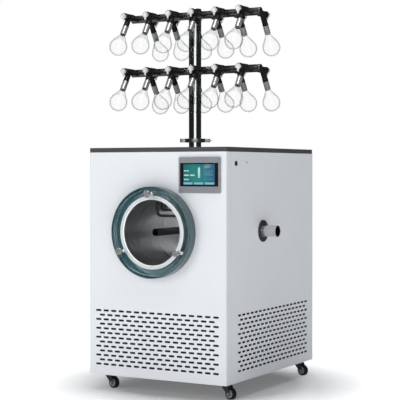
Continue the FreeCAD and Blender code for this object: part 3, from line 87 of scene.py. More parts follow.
# ------------------------------------------------------------------ materials
class Tree:
    def __init__(self, name):
        self.mat = bpy.data.materials.new(name)
        self.mat.use_nodes = True
        self.nt = self.mat.node_tree
        self.nt.nodes.clear()
        self.out = self.nt.nodes.new("ShaderNodeOutputMaterial")
        self.b = self.nt.nodes.new("ShaderNodeBsdfPrincipled")
        self.link(self.b.outputs[0], self.out.inputs["Surface"])
        self.co = self.nt.nodes.new("ShaderNodeTexCoord").outputs["Object"]

    def link(self, a, b):
        self.nt.links.new(a, b)

    def put(self, **kw):
        for key, val in kw.items():
            self.b.inputs[key.replace("_", " ")].default_value = val
        return self

    def scaled(self, s, src=None):
        m = self.nt.nodes.new("ShaderNodeMapping")
        m.inputs["Scale"].default_value = s if hasattr(s, "__len__") else (s, s, s)
        self.link(src or self.co, m.inputs["Vector"])
        return m.outputs[0]

    def noise(self, scale, detail=3.0, rough=0.5, src=None, distortion=0.0):
        n = self.nt.nodes.new("ShaderNodeTexNoise")
        n.inputs["Scale"].default_value = 1.0
        n.inputs["Detail"].default_value = detail
        n.inputs["Roughness"].default_value = rough
        n.inputs["Distortion"].default_value = distortion
        self.link(self.scaled(scale, src), n.inputs["Vector"])
        return n.outputs[0]

    def span(self, src, a, b, c, d):
        m = self.nt.nodes.new("ShaderNodeMapRange")
        for k, v in zip(("From Min", "From Max", "To Min", "To Max"), (a, b, c, d)):
            m.inputs[k].default_value = v
        self.link(src, m.inputs["Value"])
        return m.outputs[0]

    def math(self, op, a, b=None, clamp=False):
        m = self.nt.nodes.new("ShaderNodeMath")
        m.operation = op
        m.use_clamp = clamp
        for i, v in enumerate((a, b)):
            if v is None:
                continue
            if isinstance(v, (int, float)):
                m.inputs[i].default_value = v
            else:
                self.link(v, m.inputs[i])
        return m.outputs[0]

    def mix(self, fac, c1, c2):
        m = self.nt.nodes.new("ShaderNodeMix")
        m.data_type = "RGBA"
        if isinstance(fac, (int, float)):
            m.inputs[0].default_value = fac
        else:
            self.link(fac, m.inputs[0])
        for i, c in ((6, c1), (7, c2)):
            if isinstance(c, (tuple, list)):
                m.inputs[i].default_value = (*c, 1.0) if len(c) == 3 else c
            else:
                self.link(c, m.inputs[i])
        return m.outputs[2]

    def bump(self, height, strength, dist):
        n = self.nt.nodes.new("ShaderNodeBump")
        n.inputs["Strength"].default_value = strength
        n.inputs["Distance"].default_value = dist
        self.link(height, n.inputs["Height"])
        self.link(n.outputs[0], self.b.inputs["Normal"])
        return self

    def xyz(self):
        s = self.nt.nodes.new("ShaderNodeSeparateXYZ")
        self.link(self.co, s.inputs[0])
        return s.outputs

    def edge(self, lo_=0.50, hi_=0.56):
        g = self.nt.nodes.new("ShaderNodeNewGeometry")
        return self.span(g.outputs["Pointiness"], lo_, hi_, 0.0, 1.0)


def coat(name, base, vary, rough, grain, bump, scale=700.0, **kw):
    """Painted or moulded surface: slow tone drift, fine grain in colour, gloss and relief."""
    t = Tree(name)
    slow = t.noise(4.0, 4.0, 0.6)
    fine = t.noise(scale, 2.0, 0.5)
    dark = tuple(c * (1 - vary) for c in base)
    lite = tuple(min(c * (1 + vary), 1.0) for c in base)
    tone = t.mix(t.span(slow, 0.35, 0.65, 0.0, 1.0), dark, lite)
    tone = t.mix(t.span(fine, 0.3, 0.7, 0.0, grain), tone, tuple(c * 0.8 for c in base))
    t.link(tone, t.b.inputs["Base Color"])
    wear = t.noise(22.0, 5.0, 0.7)
    t.link(t.span(wear, 0.3, 0.7, rough * 0.88, rough * 1.15), t.b.inputs["Roughness"])
    t.bump(fine, bump, 0.0004)
    t.put(**kw)
    return t


def metal(name, base, rough, along, amount, bump, spread=(0.6, 1.5), **kw):
    """Bare metal with fine scratches drawn out along one direction."""
    t = Tree(name)
    drag = t.noise(along, 3.0, 0.6)
    blot = t.noise(9.0, 3.0, 0.6)
    t.link(t.mix(t.span(blot, 0.3, 0.7, 0.0, 1.0), tuple(c * (1 - amount) for c in base), base), t.b.inputs["Base Color"])
    t.link(t.span(drag, 0.25, 0.75, rough * spread[0], rough * spread[1]), t.b.inputs["Roughness"])
    t.bump(drag, bump, 0.0002)
    t.put(**{"Metallic": 1.0, **kw})
    return t


def clear(name, tint, ior, rough):
    """Glass that lets the lamps through, with a slight unevenness of tint."""
    t = Tree(name)
    t.put(Transmission_Weight=1.0, IOR=ior, Roughness=rough)
    n = t.noise(14.0, 2.0, 0.5)
    t.link(t.mix(t.span(n, 0.3, 0.7, 0.0, 1.0), tint, tuple(c * 0.985 for c in tint)), t.b.inputs["Base Color"])
    path = t.nt.nodes.new("ShaderNodeLightPath")
    see = t.nt.nodes.new("ShaderNodeBsdfTransparent")
    see.inputs[0].default_value = (*[0.5 + 0.5 * c for c in tint], 1.0)
    m = t.nt.nodes.new("ShaderNodeMixShader")
    t.link(path.outputs["Is Shadow Ray"], m.inputs[0])
    t.link(t.b.outputs[0], m.inputs[1])
    t.link(see.outputs[0], m.inputs[2])
    t.link(m.outputs[0], t.out.inputs["Surface"])
    return t


def thin(name, tint, ior, rough):
    """A thin blown wall: what is behind shows straight through, and only the gloss is added."""
    t = Tree(name)
    n = t.noise(20.0, 2.0, 0.5)
    t.link(t.mix(t.span(n, 0.3, 0.7, 0.0, 1.0), tint, tuple(c * 0.97 for c in tint)), t.b.inputs["Base Color"])
    t.put(Metallic=1.0, Roughness=rough)
    see = t.nt.nodes.new("ShaderNodeBsdfTransparent")
    see.inputs[0].default_value = (*tint, 1.0)
    fr = t.nt.nodes.new("ShaderNodeFresnel")
    fr.inputs["IOR"].default_value = ior
    m = t.nt.nodes.new("ShaderNodeMixShader")
    t.link(t.math("ADD", t.math("MULTIPLY", fr.outputs[0], 0.25), 0.012), m.inputs[0])
    t.link(see.outputs[0], m.inputs[1])
    t.link(t.b.outputs[0], m.inputs[2])
    t.link(m.outputs[0], t.out.inputs["Surface"])
    return t


M = {}
M["white_panel"] = coat("white_panel", (0.82, 0.843, 0.873), 0.012, 0.36, 0.10, 0.06, 900.0, Coat_Weight=0.15, Coat_Roughness=0.25).mat
M["frame_steel"] = coat("frame_steel", (0.16, 0.165, 0.175), 0.08, 0.55, 0.25, 0.12, 600.0, Metallic=0.2).mat
M["worktop_slab"] = coat("worktop_slab", (0.078, 0.080, 0.084), 0.10, 0.42, 0.35, 0.10, 500.0).mat
M["screen_case"] = coat("screen_case", (0.32, 0.33, 0.36), 0.03, 0.38, 0.20, 0.08, 800.0, Metallic=0.25).mat
M["teal_dish"] = coat("teal_dish", (0.022, 0.080, 0.098), 0.06, 0.32, 0.10, 0.02, 300.0, Coat_Weight=0.7, Coat_Roughness=0.16).mat
# the silicone gasket has a faint white glow: painted light that brightens the ring
M["silicone"] = coat("silicone", (0.90, 0.905, 0.91), 0.005, 0.45, 0.03, 0.05, 600.0, Emission_Color=(1.0, 1.0, 1.0, 1.0), Emission_Strength=0.04).mat
M["black_rubber"] = coat("black_rubber", (0.012, 0.012, 0.013), 0.15, 0.38, 0.3, 0.15, 650.0).mat
M["grommet_rubber"] = coat("grommet_rubber", (0.045, 0.048, 0.055), 0.10, 0.5, 0.3, 0.15, 500.0).mat
M["knob_white"] = coat("knob_white", (0.80, 0.80, 0.79), 0.01, 0.22, 0.04, 0.03, 500.0, Coat_Weight=0.6, Coat_Roughness=0.1).mat
M["castor_metal"] = coat("castor_metal", (0.12, 0.122, 0.126), 0.12, 0.42, 0.3, 0.10, 500.0, Metallic=0.6).mat
M["castor_tyre"] = coat("castor_tyre", (0.014, 0.014, 0.015), 0.12, 0.60, 0.4, 0.25, 420.0).mat
M["button_dark"] = coat("button_dark", (0.03, 0.031, 0.034), 0.05, 0.22, 0.1, 0.03, 500.0, Coat_Weight=0.5).mat
M["machine_black"] = coat("machine_black", (0.018, 0.018, 0.02), 0.15, 0.35, 0.2, 0.12, 260.0).mat
M["fan_plastic"] = coat("fan_plastic", (0.03, 0.03, 0.033), 0.10, 0.5, 0.2, 0.10, 500.0).mat
M["inlet_plastic"] = coat("inlet_plastic", (0.02, 0.02, 0.022), 0.10, 0.5, 0.2, 0.15, 700.0).mat
M["foam"] = coat("foam", (0.62, 0.55, 0.36), 0.12, 0.9, 0.5, 0.6, 260.0).mat
M["vessel_steel"] = metal("vessel_steel", (0.48, 0.48, 0.49), 0.29, (2.0, 60.0, 2.0), 0.10, 0.0, (0.9, 1.12)).mat
M["polished_steel"] = metal("polished_steel", (0.80, 0.81, 0.82), 0.09, (500.0, 500.0, 12.0), 0.04, 0.01).mat
M["grip_chrome"] = metal("grip_chrome", (0.78, 0.78, 0.80), 0.24, (300.0, 30.0, 300.0), 0.05, 0.01, Metallic=0.75).mat
M["adapter_steel"] = metal("adapter_steel", (0.74, 0.75, 0.77), 0.26, (30.0, 500.0, 700.0), 0.06, 0.03, Metallic=0.72).mat
M["flask_glass"] = thin("flask_glass", (0.998, 0.999, 0.999), 1.15, 0.04).mat
M["clear_acrylic"] = clear("clear_acrylic", (0.975, 0.99, 0.99), 1.12, 0.0).mat

# black glass front, with faint finger marks in its gloss
t = Tree("screen_pane")
t.link(t.mix(t.span(t.noise(6.0), 0.3, 0.7, 0.0, 1.0), (0.008, 0.009, 0.011), (0.014, 0.015, 0.018)), t.b.inputs["Base Color"])
t.link(t.span(t.noise(40.0, 4.0, 0.7), 0.4, 0.8, 0.06, 0.20), t.b.inputs["Roughness"])
t.put(Coat_Weight=0.5)
M["screen_pane"] = t.mat

# aluminium fins: fine upright stripes drawn on a plain block, whose dark bands are painted shade in the gaps between
# fins
t = Tree("fin_aluminium")
w = t.nt.nodes.new("ShaderNodeTexWave")
w.wave_type = "BANDS"
w.bands_direction = "X"
w.inputs["Scale"].default_value = 75.0
w.inputs["Distortion"].default_value = 0.6
t.link(t.co, w.inputs["Vector"])
t.link(t.mix(w.outputs[1], (0.30, 0.30, 0.31), (0.66, 0.67, 0.68)), t.b.inputs["Base Color"])
t.link(t.span(t.noise(30.0), 0.3, 0.7, 0.32, 0.5), t.b.inputs["Roughness"])
t.bump(w.outputs[1], 0.6, 0.001)
t.put(Metallic=0.9)
M["fin_aluminium"] = t.mat

# near-black steel for the chamber's suction tube: painted shade standing for the dark chamber it reflects
M["tube_dark"] = metal("tube_dark", (0.06, 0.06, 0.065), 0.16, (400.0, 8.0, 400.0), 0.08, 0.01).mat
M["port_steel"] = metal("port_steel", (0.62, 0.63, 0.64), 0.25, (12.0, 400.0, 400.0), 0.03, 0.006, (0.85, 1.2), Metallic=0.82).mat
# dark grey primer: the panels' inner primer, and painted shade inside the slots
M["primer_and_slot_shade"] = coat("primer_and_slot_shade", (0.06, 0.062, 0.066), 0.08, 0.6, 0.2, 0.08, 500.0).mat
# near-black with a fine bump, for the sheets behind the slots: painted shade
M["slot_shade_black"] = coat("slot_shade_black", (0.012, 0.012, 0.013), 0.2, 0.7, 0.5, 0.5, 900.0).mat

for sub in frame["record"]["subparts"]:
    o = NODES.get(sub["node"])
    if o is None:
        continue
    o.data.materials.clear()
    o.data.materials.append(M[sub["material_slot"]])

# the clamp and its nut are cast, and less bright than the tubes
M["clamp_steel"] = metal("clamp_steel", (0.52, 0.53, 0.54), 0.36, (120.0, 120.0, 120.0), 0.12, 0.04).mat
for name in ("riser_clamp", "clamp_wing_nut"):
    NODES[name].data.materials[0] = M["clamp_steel"]

# castor wheels: rubber tread on a grey plastic hub
M["castor_hub"] = coat("castor_hub", (0.30, 0.305, 0.31), 0.06, 0.4, 0.2, 0.08, 500.0).mat
for name, o in NODES.items():
    if not name.startswith("castor_wheel_"):
        continue
    o.data.materials.append(M["castor_hub"])
    a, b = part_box(name)
    mid = (a + b) / 2
    ax = Vector((math.sin(math.radians(14)), math.cos(math.radians(14)), 0.0))
    for p in o.data.polygons:
        d = p.center - mid
        r = (d - ax * d.dot(ax)).length
        if r < 0.0187:
            p.material_index = 1

# the chamber's tubes and flanges are polished, its vessel is not
o = NODES["chamber"]
o.data.materials.append(M["polished_steel"])
o.data.materials.append(M["tube_dark"])
o.data.materials.append(M["port_steel"])
for p in o.data.polygons:
    c = p.center
    x, y, z = (c.x - OX) * 1000, (c.y - OY) * 1000, c.z * 1000
    if x > 340:
        p.material_index = 3
    elif z > 890 or x > 300 or math.hypot(x, z - 716) > 160.3:
        p.material_index = 1
    # the suction tube gets the near-black steel, painted shade for its reflection of the dark chamber
    elif math.hypot(x, z - 716) < 17.5 and y < -60:
        p.material_index = 2

# sheet metal is primed dark grey on its inner faces, partly its own primer and partly painted shade seen through the
# slots
for name, way in (("front_panel", (0, 1, 0)), ("right_side_panel", (-1, 0, 0)), ("left_side_panel", (1, 0, 0)), ("rear_panel", (0, -1, 0))):
    o = NODES[name]
    o.data.materials.append(M["primer_and_slot_shade"])
    way = Vector(way)
    for p in o.data.polygons:
        c = p.center
        if p.normal.dot(way) > 0.9:
            p.material_index = 1
        elif abs(p.normal.dot(way)) < 0.5 and 0.105 < c.z < 0.375:
            # the slots' own cut edges: dark grey painted shade, so the slots read dark
            flat_way = abs(c.x - OX) < 0.342 if abs(way.y) > 0.5 else -0.382 < c.y - OY < 0.425
            if flat_way:
                p.material_index = 1

# ------------------------------------------------------------------ mesh helpers
def obj(name, bm, mat, body=BASE, smooth=40.0, bevel=None):
    me = bpy.data.meshes.new(name)
    bm.normal_update()
    bm.to_mesh(me)
    bm.free()
    o = bpy.data.objects.new(name, me)
    bpy.context.scene.collection.objects.link(o)
    me.materials.append(mat)
    for p in me.polygons:
        p.use_smooth = True
    if bevel:
        m = o.modifiers.new("bevel", "BEVEL")
        m.width = bevel
        m.segments = 2
        m.limit_method = "ANGLE"
        m.angle_limit = math.radians(35)
    m = me.attributes.new("sharp_edge", "BOOLEAN", "EDGE")
    flat = {}
    for p in me.polygons:
        for k in p.edge_keys:
            flat.setdefault(k, []).append(p.normal.copy())
    keys = {tuple(sorted(e.vertices)): e.index for e in me.edges}
    for k, ns in flat.items():
        if len(ns) == 2 and ns[0].length > 0 and ns[1].length > 0 and ns[0].angle(ns[1]) > math.radians(smooth):
            m.data[keys[tuple(sorted(k))]].value = True
    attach(o, body)
    return o


def frame_of(axis):
    axis = Vector(axis).normalized()
    side = Vector((0, 0, 1)) if abs(axis.z) < 0.9 else Vector((1, 0, 0))
    u = axis.cross(side).normalized()
    v = axis.cross(u).normalized()
    return axis, u, v


def lathe(bm, pts, at, axis, n=48, closed=False):
    """Turns (along, radius) pairs about an axis through a point."""
    ax, u, v = frame_of(axis)
    at = Vector(at)
    rings = []
    for s, r in pts:
        if r < 1e-7:
            rings.append([bm.verts.new(at + ax * s)])
        else:
            rings.append([bm.verts.new(at + ax * s + (u * math.cos(2 * math.pi * k / n) + v * math.sin(2 * math.pi * k / n)) * r) for k in range(n)])
    pairs = list(zip(rings, rings[1:]))
    if closed:
        pairs.append((rings[-1], rings[0]))
    for a, b in pairs:
        for k in range(n):
            q = [a[k % len(a)], a[(k + 1) % len(a)], b[(k + 1) % len(b)], b[k % len(b)]]
            f = []
            for w_ in q:
                if w_ not in f:
                    f.append(w_)
            if len(f) > 2:
                bm.faces.new(f)
    bmesh.ops.recalc_face_normals(bm, faces=bm.faces)
    return bm


def tube(bm, pts, r, n=16, caps=True):
    """A round rod along points, with its ends closed."""
    pts = [Vector(p) for p in pts]
    prev = None
    rings = []
    for i, p in enumerate(pts):
        d = (pts[min(i + 1, len(pts) - 1)] - pts[max(i - 1, 0)]).normalized()
        if prev is None:
            _, u, v = frame_of(d)
        else:
            u = (prev - d * prev.dot(d)).normalized()
            v = d.cross(u)
        prev = u
        rings.append([bm.verts.new(p + (u * math.cos(2 * math.pi * k / n) + v * math.sin(2 * math.pi * k / n)) * r) for k in range(n)])
    for a, b in zip(rings, rings[1:]):
        for k in range(n):
            bm.faces.new([a[k], a[(k + 1) % n], b[(k + 1) % n], b[k]])
    if caps:
        bm.faces.new(rings[0])
        bm.faces.new(rings[-1])
    bmesh.ops.recalc_face_normals(bm, faces=bm.faces)
    return bm


def spline(pts, n=10):
    """Points along a smooth line through the given ones."""
    pts = [Vector(p) for p in pts]
    out = []
    for i in range(len(pts) - 1):
        p0, p1, p2, p3 = pts[max(i - 1, 0)], pts[i], pts[i + 1], pts[min(i + 2, len(pts) - 1)]
        for k in range(n):
            s = k / n
            out.append(0.5 * ((2 * p1) + (p2 - p0) * s + (2 * p0 - 5 * p1 + 4 * p2 - p3) * s * s + (3 * p1 - p0 - 3 * p2 + p3) * s ** 3))
    out.append(pts[-1])
    return out


def plate(bm, lo_, hi_):
    """A closed box between two corners."""
    a, b = Vector(lo_), Vector(hi_)
    vs = [bm.verts.new((x, y, z)) for x in (a.x, b.x) for y in (a.y, b.y) for z in (a.z, b.z)]
    for f in ((0, 1, 3, 2), (4, 6, 7, 5), (0, 4, 5, 1), (2, 3, 7, 6), (0, 2, 6, 4), (1, 5, 7, 3)):
        bm.faces.new([vs[i] for i in f])
    bmesh.ops.recalc_face_normals(bm, faces=bm.faces)
    return bm


def bead(bm, at, axis, major, minor, n=40, m=8):
    """A small rolled ring, such as a weld."""
    pts = [(minor * math.sin(2 * math.pi * k / m), major + minor * math.cos(2 * math.pi * k / m)) for k in range(m)]
    return lathe(bm, pts, at, axis, n, closed=True)


def screw(bm, at, axis, r=0.0035, h=0.0016):
    """A pan head with a round recess pressed in."""
    ax, u, v = frame_of(axis)
    lathe(bm, [(0, r), (h * 0.45, r), (h * 0.85, r * 0.8), (h, r * 0.45), (h * 0.55, r * 0.32), (h * 0.5, 0.0)], at, axis, 20)
    return bm


# ------------------------------------------------------------------ display
g_lo, g_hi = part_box("screen_glass")
face_y = g_lo.y
gx0, gx1, gz0, gz1 = g_lo.x, g_hi.x, g_lo.z, g_hi.z
dx0, dx1 = gx0 + 0.0155, gx1 - 0.0155
dz0, dz1 = gz0 + 0.0062, gz1 - 0.0046
dw, dh = dx1 - dx0, dz1 - dz0


def lit(name, ramp, strength, axis="X", span=(0.0, 1.0), rough=0.2):
    """A softly glowing area whose colour runs along one direction."""
    t = Tree(name)
    o = t.xyz()
    f = t.span(o[{"X": 0, "Z": 2}[axis]], span[0], span[1], 0.0, 1.0)
    n = t.noise(18.0, 2.0, 0.5)
    f = t.math("ADD", f, t.math("MULTIPLY", t.math("SUBTRACT", n, 0.5), 0.25), clamp=True)
    r = t.nt.nodes.new("ShaderNodeValToRGB")
    r.color_ramp.elements[0].color = (*ramp[0], 1)
    r.color_ramp.elements[1].color = (*ramp[-1], 1)
    for i, c in enumerate(ramp[1:-1]):
        e = r.color_ramp.elements.new((i + 1) / (len(ramp) - 1))
        e.color = (*c, 1)
    t.link(f, r.inputs[0])
    t.link(t.mix(0.75, r.outputs[0], (0.0, 0.0, 0.0)), t.b.inputs["Base Color"])
    t.link(r.outputs[0], t.b.inputs["Emission Color"])
    t.link(t.span(t.noise(60.0), 0.3, 0.7, rough * 0.8, rough * 1.2), t.b.inputs["Roughness"])
    t.put(Emission_Strength=strength)
    return t.mat


M["display"] = lit("display", [(0.02, 0.16, 0.15), (0.03, 0.23, 0.22), (0.03, 0.20, 0.23), (0.03, 0.13, 0.23)], 0.75, "X", (dx0, dx1))
M["display_pale"] = lit("display_pale", [(0.40, 0.66, 0.66), (0.52, 0.76, 0.78)], 0.75, "Z", (dz0, dz1))
M["display_key"] = lit("display_key", [(0.16, 0.36, 0.50), (0.30, 0.52, 0.66)], 0.8, "Z", (dz0, dz0 + 0.01))
M["display_blue"] = lit("display_blue", [(0.06, 0.20, 0.36), (0.10, 0.28, 0.44)], 0.75, "Z", (dz0, dz1))
M["display_white"] = lit("display_white", [(0.30, 0.50, 0.52), (0.62, 0.76, 0.78)], 0.9, "Z", (dz0 + 0.3 * dh, dz1))
M["display_line"] = lit("display_line", [(0.01, 0.07, 0.09), (0.01, 0.05, 0.10)], 0.5, "X", (dx0, dx1))


def field(bm, u0, u1, v0, v1, depth):
    """A shallow tile; u runs right and v runs down the display."""
    return plate(bm, (dx0 + u0 * dw, face_y - depth, dz1 - v1 * dh), (dx0 + u1 * dw, face_y - 0.00002, dz1 - v0 * dh))


bm = bmesh.new()
field(bm, 0, 1, 0, 1, 0.00015)
obj("display_area", bm, M["display"], smooth=30)
bm = bmesh.new()
for u0, u1 in ((0.005, 0.29), (0.35, 0.63), (0.69, 0.98)):
    field(bm, u0, u1, 0.89, 0.985, 0.0003)
obj("display_keys", bm, M["display_key"], bevel=0.00008)
bm = bmesh.new()
field(bm, 0.468, 0.535, 0.20, 0.66, 0.0003)
field(bm, 0.485, 0.518, 0.14, 0.20, 0.0003)
obj("display_bar", bm, M["display_white"], bevel=0.00008)
bm = bmesh.new()
for v0, v1, us in ((0.28, 0.36, ((0.02, 0.085), (0.10, 0.17))), (0.49, 0.58, ((0.02, 0.17), (0.21, 0.36))), (0.70, 0.79, ((0.02, 0.085), (0.10, 0.17)))):
    for u0, u1 in us:
        field(bm, u0, u1, v0 + 0.012, v1 - 0.012, 0.0003)
obj("display_marks", bm, M["display_pale"], bevel=0.00006)
bm = bmesh.new()
for u0, u1 in ((0.66, 0.76), (0.80, 0.94)):
    for v in (0.30, 0.50, 0.70):
        field(bm, u0, u1, v, v + 0.04, 0.00028)
obj("display_values", bm, M["display_blue"], bevel=0.00006)
bm = bmesh.new()
field(bm, 0.0, 1.0, 0.055, 0.062, 0.00026)
field(bm, 0.0, 1.0, 0.845, 0.852, 0.00026)
field(bm, 0.40, 0.404, 0.10, 0.80, 0.00026)
field(bm, 0.595, 0.599, 0.10, 0.80, 0.00026)
obj("display_lines", bm, M["display_line"], smooth=30)

# dark joint round the glass
bm = bmesh.new()
h_lo, h_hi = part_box("screen_housing")
for (a, b) in (((gx0 - 0.0012, gz0 - 0.0012), (gx1 + 0.0012, gz0)), ((gx0 - 0.0012, gz1), (gx1 + 0.0012, gz1 + 0.0012)),
               ((gx0 - 0.0012, gz0), (gx0, gz1)), ((gx1, gz0), (gx1 + 0.0012, gz1))):
    plate(bm, (a[0], h_lo.y - 0.0003, a[1]), (b[0], h_lo.y + 0.0005, b[1]))
obj("screen_joint", bm, M["black_rubber"], smooth=30)

# ------------------------------------------------------------------ chamber details
ZC = 716.0
M["probe_black"] = coat("probe_black", (0.004, 0.004, 0.0045), 0.1, 0.7, 0.2, 0.05, 500.0, Specular_IOR_Level=0.15).mat
bm = bmesh.new()
tube(bm, spline([C(-64, -320, ZC + 129), C(-63, -320, ZC + 100), C(-61, -320, ZC + 80), C(-50, -320, ZC + 69), C(-20, -320, ZC + 68), C(40, -320, ZC + 68), C(126, -320, ZC + 68)], 10), 0.0062)
tube(bm, spline([C(-42, -320, ZC + 138), C(-42, -320, ZC + 118), C(-40, -320, ZC + 104), C(-30, -320, ZC + 95), C(0, -320, ZC + 94), C(50, -320, ZC + 94), C(110, -320, ZC + 94)], 10), 0.0054)
obj("chamber_probes", bm, M["probe_black"])
bm = bmesh.new()
bead(bm, C(0, 150, ZC), (0, 1, 0), 0.1459, 0.0012, 96)
obj("chamber_welds", bm, M["vessel_steel"])

# spacer sleeves on the window's studs, and a washer under each grip
bm = bmesh.new()
for deg in (90, 210, 330):
    a = math.radians(deg)
    at = C(168 * math.cos(a), 0, ZC + 168 * math.sin(a))
    lathe(bm, [(0.4515, 0.0042), (0.4515, 0.0095), (0.4535, 0.0095), (0.4540, 0.0070), (0.4735, 0.0070), (0.4748, 0.0060), (0.4748, 0.0042)], at, (0, -1, 0), 32, closed=True)
obj("stud_sleeves", bm, M["grip_chrome"])

# black sheets with a fine bump behind the slots: painted shade, so the slots read dark
bm = bmesh.new()
plate(bm, C(-344, -437.9, 84), C(344, -437.0, 392))
plate(bm, C(347.7, -384, 84), C(348.2, 426, 392))
plate(bm, C(-348.2, -384, 84), C(-347.7, 426, 392))
plate(bm, C(-344, 435.7, 84), C(344, 436.4, 392))
obj("slot_shade_sheet", bm, M["slot_shade_black"], smooth=30)

# ------------------------------------------------------------------ manifold welds
bm = bmesh.new()
for hz in (1700.0, 1445.0):
    for sx in (-1, 1):
        bead(bm, C(sx * 28.6, -94, hz), (1, 0, 0), 0.0186, 0.0012, 48)
    for k in range(6):
        for sy in (-1, 1):
            bead(bm, C(-300 + 120 * k, -94 + sy * 17.4, hz), (0, 1, 0), 0.0088, 0.0011, 24, 6)
obj("manifold_welds", bm, M["polished_steel"])

# end caps of the headers: a rolled edge
bm = bmesh.new()
for hz in (1700.0, 1445.0):
    for sx in (-1, 1):
        bead(bm, C(sx * 338.6, -94, hz), (1, 0, 0), 0.0176, 0.0010, 48)
bead(bm, C(0, -94, 1728.4), (0, 0, 1), 0.0280, 0.0012, 64)
obj("header_rims", bm, M["polished_steel"])

# ------------------------------------------------------------------ blown flasks
def flask(bm, at, way):
    """Glass with a lip in the adapter's cup, a collar under it, a straight shoulder and a round bulb."""
    r, t_, mid, neck, wide = 0.042, 0.0018, 0.172, 0.0103, 0.0132
    top, sh = 0.0862, 0.107
    d = math.hypot(wide, sh - mid)
    a = math.atan2(mid - sh, wide) - math.acos(r / d)
    outer = [(top, neck), (top + 0.006, neck), (sh - 0.0034, neck), (sh - 0.0026, neck + 0.0004), (sh - 0.0006, wide - 0.0006), (sh, wide)]
    sx, rx = mid - r * math.sin(a), r * math.cos(a)
    for k in range(1, 6):
        f = k / 6
        outer.append((sh + (sx - sh) * f, wide + (rx - wide) * f))
    n = 24
    for k in range(n + 1):
        b = a - (a + math.pi / 2) * k / n
        outer.append((mid - r * math.sin(b), max(r * math.cos(b), 0.0)))
    outer[-1] = (mid + r, 0.0)
    inner = [(mid + r - t_, 0.0)]
    for s_, q in reversed(outer[:-1]):
        if s_ > mid:
            c_ = Vector((s_ - mid, q)).normalized() * (r - t_)
            inner.append((mid + c_.x, c_.y))
        else:
            inner.append((s_, q - t_))
    lathe(bm, outer + inner, at, way, 44, closed=True)


bm = bmesh.new()
tilt = math.radians(32.5)
for hz in (1700.0, 1445.0):
    for sy in (-1, 1):
        for k in range(6):
            flask(bm, C(-300 + 120 * k, -94 + sy * 94, hz), (0, sy * math.sin(tilt), -math.cos(tilt)))
glass = obj("blown_flasks", bm, M["flask_glass"], smooth=60)
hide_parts("flasks")

# ------------------------------------------------------------------ panel screws
bm = bmesh.new()
p_lo, p_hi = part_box("right_side_panel")
screw(bm, Vector((p_hi.x, OY - 0.252, 1.020)), (1, 0, 0), 0.0045, 0.002)
obj("side_screw", bm, M["grip_chrome"])
bm = bmesh.new()
r_lo, r_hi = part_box("rear_panel")
for sx in (-1, 1):
    for z in (0.10, 0.33, 0.565, 0.80, 1.04):
        screw(bm, Vector((OX + sx * 0.333, r_hi.y, z)), (0, 1, 0), 0.0042, 0.002)
for x in (-0.16, 0.0, 0.16):
    screw(bm, Vector((OX + x, r_hi.y, 1.052)), (0, 1, 0), 0.0042, 0.002)
obj("rear_screws", bm, M["grip_chrome"])

# ------------------------------------------------------------------ castor nuts
for tag, cx, cy in (("front_right", 300, -345), ("front_left", -300, -345), ("rear_right", 300, 390), ("rear_left", -300, 390)):
    bm = bmesh.new()
    a = math.radians(-14)
    hub = C(cx + 25 * math.cos(a), cy + 25 * math.sin(a), 25)
    ax = Vector((math.sin(math.radians(14)), math.cos(math.radians(14)), 0))
    for s in (-1, 1):
        lathe(bm, [(0.0, 0.0068), (0.0030, 0.0068), (0.0036, 0.0060), (0.0036, 0.0)], hub + ax * s * 0.0162, ax * s, 6)
    obj("castor_nuts_" + tag, bm, M["grip_chrome"], body="castor_fork_" + tag)

# ------------------------------------------------------------------ mains inlet
i_lo, i_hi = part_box("power_inlet")
M["blade_metal"] = metal("blade_metal", (0.62, 0.60, 0.55), 0.22, (400.0, 30.0, 400.0), 0.1, 0.02).mat
bm = bmesh.new()
x0, x1, z0, z1, y0, y1 = i_lo.x, i_hi.x, i_lo.z, i_hi.z, i_lo.y, i_hi.y


def loop(inset, y, cut=0.0):
    xs0, xs1, zs0, zs1 = x0 + inset, x1 - inset, z0 + inset, z1 - inset
    c = 0.006 if cut == 0.0 else cut
    return [(xs0, y, zs0), (xs1, y, zs0), (xs1, y, zs1 - c), (xs1 - c, y, zs1), (xs0 + c, y, zs1), (xs0, y, zs1 - c)]


rings = []
for inset, y, c in ((0.0, y0, 0.004), (0.0, y1, 0.004), (0.0035, y1, 0.006), (0.0035, y0 + 0.006, 0.006)):
    rings.append([bm.verts.new(p) for p in loop(inset, y, c)])
for a, b in zip(rings, rings[1:]):
    for k in range(6):
        bm.faces.new([a[k], a[(k + 1) % 6], b[(k + 1) % 6], b[k]])
bm.faces.new(rings[0])
bm.faces.new(rings[-1])
bmesh.ops.recalc_face_normals(bm, faces=bm.faces)
inlet = obj("inlet_shell", bm, M["inlet_plastic"], bevel=0.0004)
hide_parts("power_inlet")
bm = bmesh.new()
mx, mz = (x0 + x1) / 2, (z0 + z1) / 2
for px, pz in ((-0.009, -0.003), (0.0, 0.003), (0.009, -0.003)):
    plate(bm, (mx + px - 0.001, y0 + 0.005, mz + pz - 0.003), (mx + px + 0.001, y1 - 0.004, mz + pz + 0.003))
obj("inlet_blades", bm, M["blade_metal"], bevel=0.0003)

# ------------------------------------------------------------------ floor
t = coat("floor", (0.86, 0.87, 0.88), 0.01, 0.30, 0.02, 0.01, 60.0)
# the floor glows more with distance from its middle under the cabinet, weakly within 0.4 m and fully beyond 0.85 m: the
# far floor is evenly white, and the dimmer floor round the cabinet's foot is painted shade that also leaves the real
# shadows visible
ln = t.nt.nodes.new("ShaderNodeVectorMath")
ln.operation = "LENGTH"
t.link(t.co, ln.inputs[0])
t.link(t.span(ln.outputs["Value"], 0.40, 0.85, 0.14, 0.95), t.b.inputs["Emission Strength"])
t.put(Emission_Color=(1.0, 1.0, 1.0, 1.0))
M["floor"] = t.mat
bm = bmesh.new()
bmesh.ops.create_grid(bm, x_segments=4, y_segments=4, size=40.0)
me = bpy.data.meshes.new("floor")
bm.to_mesh(me)
bm.free()
floor = bpy.data.objects.new("floor", me)
bpy.context.scene.collection.objects.link(floor)
me.materials.append(M["floor"])
floor.visible_glossy = False

